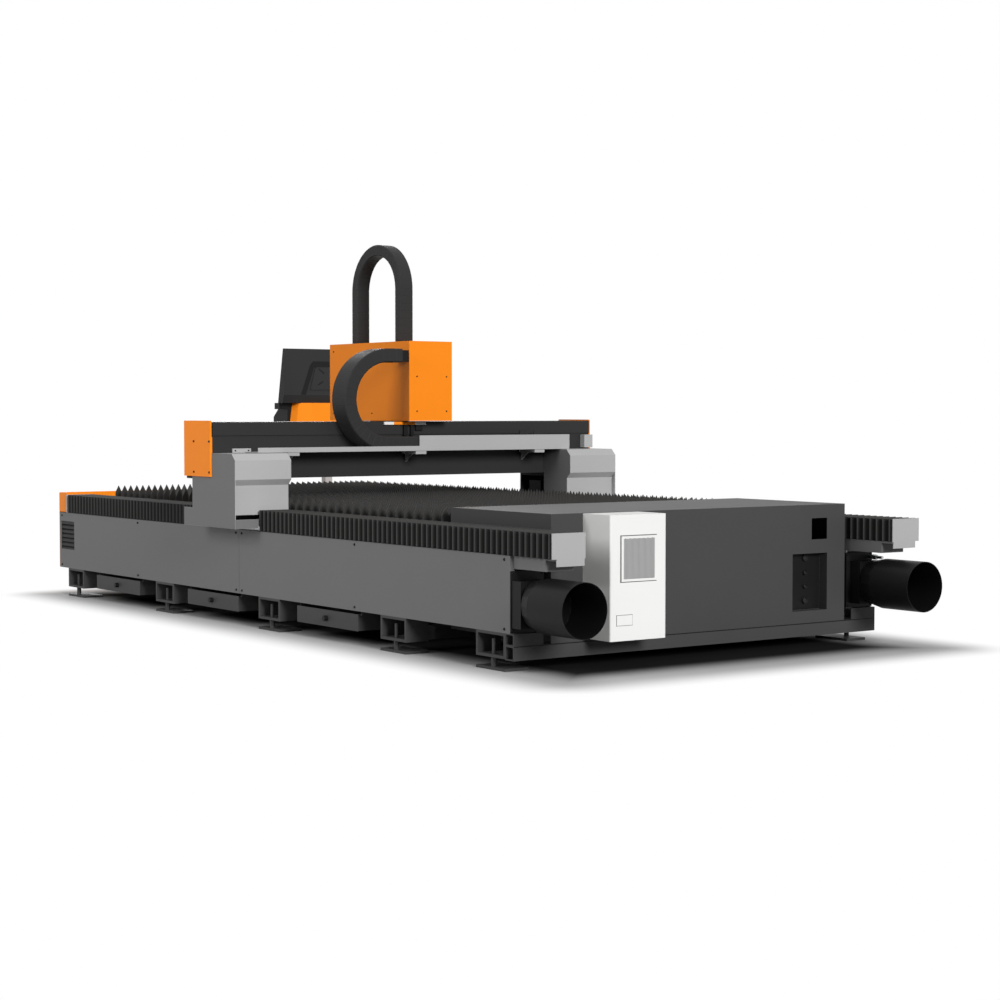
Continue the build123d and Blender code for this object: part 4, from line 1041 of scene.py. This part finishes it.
@dataclass
class GantryFittings:
    """Small parts of the gantry: grey column sheets, end caps, tray brackets, angle and end block.

    The sheets' outlines are given in mm along the bed and up, and the hem's in metres across
    and up.
    """

    dresser: Dresser
    inner: float = 0.8742
    plate: float = 0.0015
    outer: float = 1.1890
    skin: float = 0.0005
    near_bed: tuple[Span, ...] = (
        *((2130, 568), (2130, 711), (2101, 740), (2101, 835)),
        *((2134, 867), (2339, 867), (2339, 568)),
    )
    outside: tuple[Span, ...] = (
        *((2100.5, 500.5), (2100.5, 835), (2133, 867.5), (2552.5, 867.5)),
        *((2552.5, 589.5), (2645.5, 589.5), (2645.5, 500.5)),
    )
    hem_x: float = at(2100)
    hem: tuple[Span, ...] = ((1.0595, 0.5005), (1.1885, 0.5005), (1.1885, 0.5445), (1.0595, 0.5445))
    weld: float = 1e-5
    bracket_middles: tuple[float, ...] = (-0.804, -0.0385, 0.7355)
    bracket_half: float = 0.033
    bracket_x: Span = (at(2339), at(2194))
    bracket_z: Span = (0.852, 0.8696)
    angle: Box = ((at(2339), at(2330)), (-1.0775, -0.973), (0.8685, 0.890))
    block: Box = ((at(2339), at(2300)), (1.127, 1.185), (0.874, 0.946))

    def sides(self) -> None:
        """Makes the grey sheets on the columns: towards the bed, outside and along the hem.
        Over the light grey cover they paint the side faces darker than the rear faces, as painted
        shade: lit and shaded copies of one paint.
        """
        # The side sheets are painted shade: darker grey on faces turned away from the key light.
        faces = ((self.near_bed, self.inner, -self.plate), (self.outside, self.outer, self.skin))
        sheets = []
        for side in SIDES:
            for profile, place, thickness in faces:
                outline = [(at(run), side * place, z * MM) for run, z in profile]
                sheets.append((outline, (0, side * thickness, 0)))
            hem = [(self.hem_x, side * y, z) for y, z in self.hem]
            sheets.append((hem, (self.skin, 0, 0)))
        self.dresser.add_sheets("column_shaded_sides", sheets, Coat.GREY, "gantry")

    def caps(self) -> None:
        """Makes the end caps in place of the CAD ones.

        They are sunk a little, so that their screws stay inside the machine's box.
        """
        mesh = bmesh.new()
        mesh.from_mesh(frame["nodes"]["end_caps"].data)
        bmesh.ops.remove_doubles(mesh, verts=mesh.verts, dist=self.weld)
        for vertex in mesh.verts:
            if abs(vertex.co.y) > CAP_FACE:
                vertex.co.y = math.copysign(CAP_FACE, vertex.co.y)
        piece = self.dresser.add_piece("sunk_end_caps", mesh, Coat.ORANGE)
        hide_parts("end_caps")
        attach(piece, "gantry")

    def build(self) -> None:
        """Makes the gantry's small parts."""
        self.sides()
        self.caps()
        boxes = [
            (self.bracket_x, (y - self.bracket_half, y + self.bracket_half), self.bracket_z)
            for y in self.bracket_middles
        ]
        boxes += [self.angle, self.block]
        self.dresser.add_boxes("gantry_brackets", boxes, Coat.LIGHT_GREY, "gantry")


@dataclass
class CarriageFittings:
    """The wiper strip behind the carriage: pads, a strip between them and its three legs.

    A leg is given by its span across and the height of its foot.
    """

    dresser: Dresser
    depth: Span = (at(2333), at(2322))
    height: Span = (1.006, 1.0215)
    pads: tuple[Span, ...] = ((-0.185, -0.125), (0.008, 0.076))
    strip: Span = (-0.1248, 0.0078)
    leg_top: float = 1.0055
    legs: tuple[tuple[Span, float], ...] = (
        ((-0.0635, -0.038), 0.947),
        ((-0.02, 0.0), 0.947),
        ((0.012, 0.0566), 0.9745),
    )

    def build(self) -> None:
        """Makes the strip in three pieces, one for each finish."""
        pads = [(self.depth, across, self.height) for across in self.pads]
        strip = [(self.depth, self.strip, self.height)]
        legs = [(self.depth, across, (foot, self.leg_top)) for across, foot in self.legs]
        self.dresser.add_boxes("wiper_pads", pads, Coat.WHITE, "carriage")
        self.dresser.add_boxes("wiper_strip", strip, Coat.ORANGE, "carriage")
        self.dresser.add_boxes("wiper_legs", legs, Coat.BLACK_PAINT, "carriage")


@dataclass
class Studio:
    """Pale floor, soft lamps, white surroundings and the camera.

    The key is a sun, given by its place and strength. The other lamps are given by their name,
    place, size and watts, and look at the middle of the machine.
    """

    focal_mm: float = 74.4
    sensor_mm: float = 36
    camera_at: Point = (9.109, -5.9975, 1.077)
    looks_along: Point = (-0.8141, 0.5807, 0)
    pitch: float = math.radians(2.46)
    key: tuple[Point, float] = ((9.0, -1.0, 3.2), 2.9)
    key_angle: float = math.radians(18)
    lamps: tuple[tuple[str, Point, float, float], ...] = (
        ("side", (1.0, -9.0, 4.0), 4.0, 350),
        ("top", (1.0, 0.5, 7.0), 3.0, 40),
        ("front", (-9.0, 4.0, 4.0), 4.0, 260),
    )
    lit: Point = (0, 0, 0.6)
    world_light: float = 0.2
    floor_size: float = 120.0
    footprint_middle: Point = (0.17, 0.0, 0.0)
    footprint_half: Point = (2.47, 1.06, 0.0)
    shadow_reach: float = 0.35
    # The floor's own grey falls from the second tone to the first across this span of distance from the
    # machine's edge: a painted shadow under the machine.
    under: Span = (-0.25, 0.02)
    painted_shadow_greys: Span = (0.02, 0.6)

    def hang(self, name: str, data: ID, place: Point, aim: Vector) -> Object:
        """Places a lamp or the camera, and turns it to look along its aim."""
        made = add_object(name, data)
        made.location = place
        made.rotation_euler = aim.to_track_quat("-Z", "Y").to_euler()
        return made

    def camera(self) -> None:
        """Makes the camera at the photograph's viewing angle."""
        data = bpy.data.cameras.new("view")
        data.lens = self.focal_mm
        data.sensor_width = self.sensor_mm
        level = Vector(self.looks_along).normalized() * math.cos(self.pitch)
        aim = level - Vector((0, 0, math.sin(self.pitch)))
        bpy.context.scene.camera = self.hang("view", data, self.camera_at, aim)

    def light(self) -> None:
        """Makes the key, which lights both ends of the machine alike, and the soft lamps."""
        place, strength = self.key
        data = bpy.data.lights.new("key", "SUN")
        data.energy = strength
        data.angle = self.key_angle
        self.hang("key", data, place, -Vector(place))
        for name, place, size, watts in self.lamps:
            data = bpy.data.lights.new(name, "AREA")
            data.shape = "SQUARE"
            data.size = size
            data.energy = watts
            self.hang(name, data, place, Vector(self.lit) - Vector(place))

    def seen_share(self, tree: NodeTree) -> NodeSocket:
        """Adds nodes that give 1 for a ray that is seen, and 0 for one that only lights."""
        path = add_node(tree, "ShaderNodeLightPath")
        seen = path.outputs["Is Camera Ray"]
        for ray in ("Is Glossy Ray", "Is Transmission Ray"):
            rays = {0: seen, 1: path.outputs[ray]}
            seen = add_node(tree, "ShaderNodeMath", rays, operation="MAXIMUM").outputs[0]
        return seen

    def surroundings(self) -> None:
        """Makes a world that is seen as white and lights at a plain level."""
        world = bpy.data.worlds.new("studio")
        bpy.context.scene.world = world
        world.use_nodes = True
        tree = world.node_tree
        tree.nodes.clear()
        light, white = [
            add_node(tree, "ShaderNodeBackground", {"Color": WHITE_LIGHT, "Strength": strength})
            for strength in (self.world_light, 1.0)
        ]
        mixed = add_node(
            tree,
            "ShaderNodeMixShader",
            {"Fac": self.seen_share(tree), 1: light.outputs[0], 2: white.outputs[0]},
        )
        add_node(tree, "ShaderNodeOutputWorld", {"Surface": mixed.outputs[0]})

    def away(self, tree: NodeTree) -> tuple[NodeSocket, NodeSocket]:
        """Adds nodes that tell how far a place on the floor is from the machine's edge.

        Args:
            tree: The floor's node tree.

        Returns:
            A share that grows from 0 at the edge to 1 a little way out, and the floor's grey,
            which is painted dark under the machine as a painted shadow.
        """
        vector, number = "ShaderNodeVectorMath", "ShaderNodeMath"
        place = add_node(tree, "ShaderNodeTexCoord").outputs["Object"]
        off = add_node(tree, vector, {0: place, 1: self.footprint_middle}, operation="SUBTRACT")
        wide = add_node(tree, vector, {0: off.outputs[0]}, operation="ABSOLUTE").outputs[0]
        past = add_node(tree, vector, {0: wide, 1: self.footprint_half}, operation="SUBTRACT")
        out = add_node(tree, vector, {0: past.outputs[0], 1: (0, 0, 0)}, operation="MAXIMUM")
        far = add_node(tree, vector, {0: out.outputs[0]}, operation="LENGTH").outputs["Value"]
        split = add_node(tree, "ShaderNodeSeparateXYZ", {0: past.outputs[0]}).outputs
        edge = add_node(tree, number, {0: split[0], 1: split[1]}, operation="MAXIMUM").outputs[0]
        found = []
        # The second range paints the floor's grey dark under the machine, as a painted shadow.
        for value, reach, shares in (
            (far, (0.0, self.shadow_reach), (0.0, 1.0)),
            (edge, self.under, self.painted_shadow_greys),
        ):
            sockets = ("Value", "From Min", "From Max", "To Min", "To Max")
            inputs = dict(zip(sockets, (value, *reach, *shares)))
            grown = add_node(tree, "ShaderNodeMapRange", inputs, interpolation_type="SMOOTHSTEP")
            found.append(grown.outputs["Result"])
        return found[0], found[1]

    def floor(self) -> None:
        """Makes a floor that is seen as white and keeps the machine's shadow."""
        mesh = bmesh.new()
        bmesh.ops.create_grid(mesh, x_segments=1, y_segments=1, size=self.floor_size / 2)
        data = bpy.data.meshes.new("floor")
        mesh.to_mesh(data)
        mesh.free()
        floor = add_object("floor", data)
        material = bpy.data.materials.new("floor_white")
        material.use_nodes = True
        tree = material.node_tree
        tree.nodes.clear()
        white, tone = self.away(tree)
        # The diffuse grey carries the painted shadow under the machine.
        matt = add_node(tree, "ShaderNodeBsdfDiffuse", {"Color": tone})
        glow = add_node(tree, "ShaderNodeEmission", {"Color": WHITE_LIGHT, "Strength": 1.0})
        seen = {0: self.seen_share(tree), 1: white}
        share = add_node(tree, "ShaderNodeMath", seen, operation="MULTIPLY")
        mixed = add_node(
            tree,
            "ShaderNodeMixShader",
            {"Fac": share.outputs[0], 1: matt.outputs[0], 2: glow.outputs[0]},
        )
        add_node(tree, "ShaderNodeOutputMaterial", {"Surface": mixed.outputs[0]})
        data.materials.append(material)

    def build(self) -> None:
        """Sets up the whole studio."""
        bpy.context.scene.view_settings.view_transform = "Standard"
        self.surroundings()
        self.floor()
        self.light()
        self.camera()


def chains(dresser: Dresser) -> list[DragChain]:
    """Lists both cable chains, with their places in the machine's frame.

    Args:
        dresser: Holds the finishes.

    Returns:
        The cross chain on the gantry and the head chain on the carriage.
    """
    cross_x, cross_y, cross_z = at(2198 + 68), -0.235, 1.1378
    head_x, head_y, head_z = at(2707.5), 0.045, 1.980 - 0.0295 - 0.220
    moving_end, fixed_end = 1.1803, 1.052
    cross = DragChain(
        dresser,
        node="y_chain",
        bodies=("gantry", "carriage"),
        radius=0.229,
        upper=0.085,
        lower=0.935,
        width=0.136,
        thickness=0.071,
        links=44,
        bend_share=0.9,
        axes=Matrix(((0, 0, 1, cross_x), (1, 0, 0, cross_y), (0, 1, 0, cross_z), (0, 0, 0, 1))),
    )
    head = DragChain(
        dresser,
        node="z_chain",
        bodies=("carriage", "head"),
        radius=0.220,
        upper=head_z - moving_end,
        lower=head_z - fixed_end,
        width=0.080,
        thickness=0.059,
        links=48,
        bend_share=0.5,
        axes=Matrix(((0, -1, 0, head_x), (0, 0, 1, head_y), (-1, 0, 0, head_z), (0, 0, 0, 1))),
    )
    return [cross, head]


def main() -> None:
    """Builds the machine's looks in order and sets the studio."""
    logging.basicConfig(level=logging.INFO, format="%(name)s: %(message)s")
    dresser = Dresser()
    dresser.paint_cad()
    Bellows(dresser).build()
    SlatBed(dresser).build()
    for chain in chains(dresser):
        chain.build()
    Screws(dresser).build()
    CabinetFittings(dresser).build()
    ConsoleFittings(dresser).build()
    Feet(dresser).build()
    DrawerKnobs(dresser).build()
    GantryFittings(dresser).build()
    CarriageFittings(dresser).build()
    Studio().build()
    bpy.context.view_layer.update()


if __name__ == "__main__":
    main()
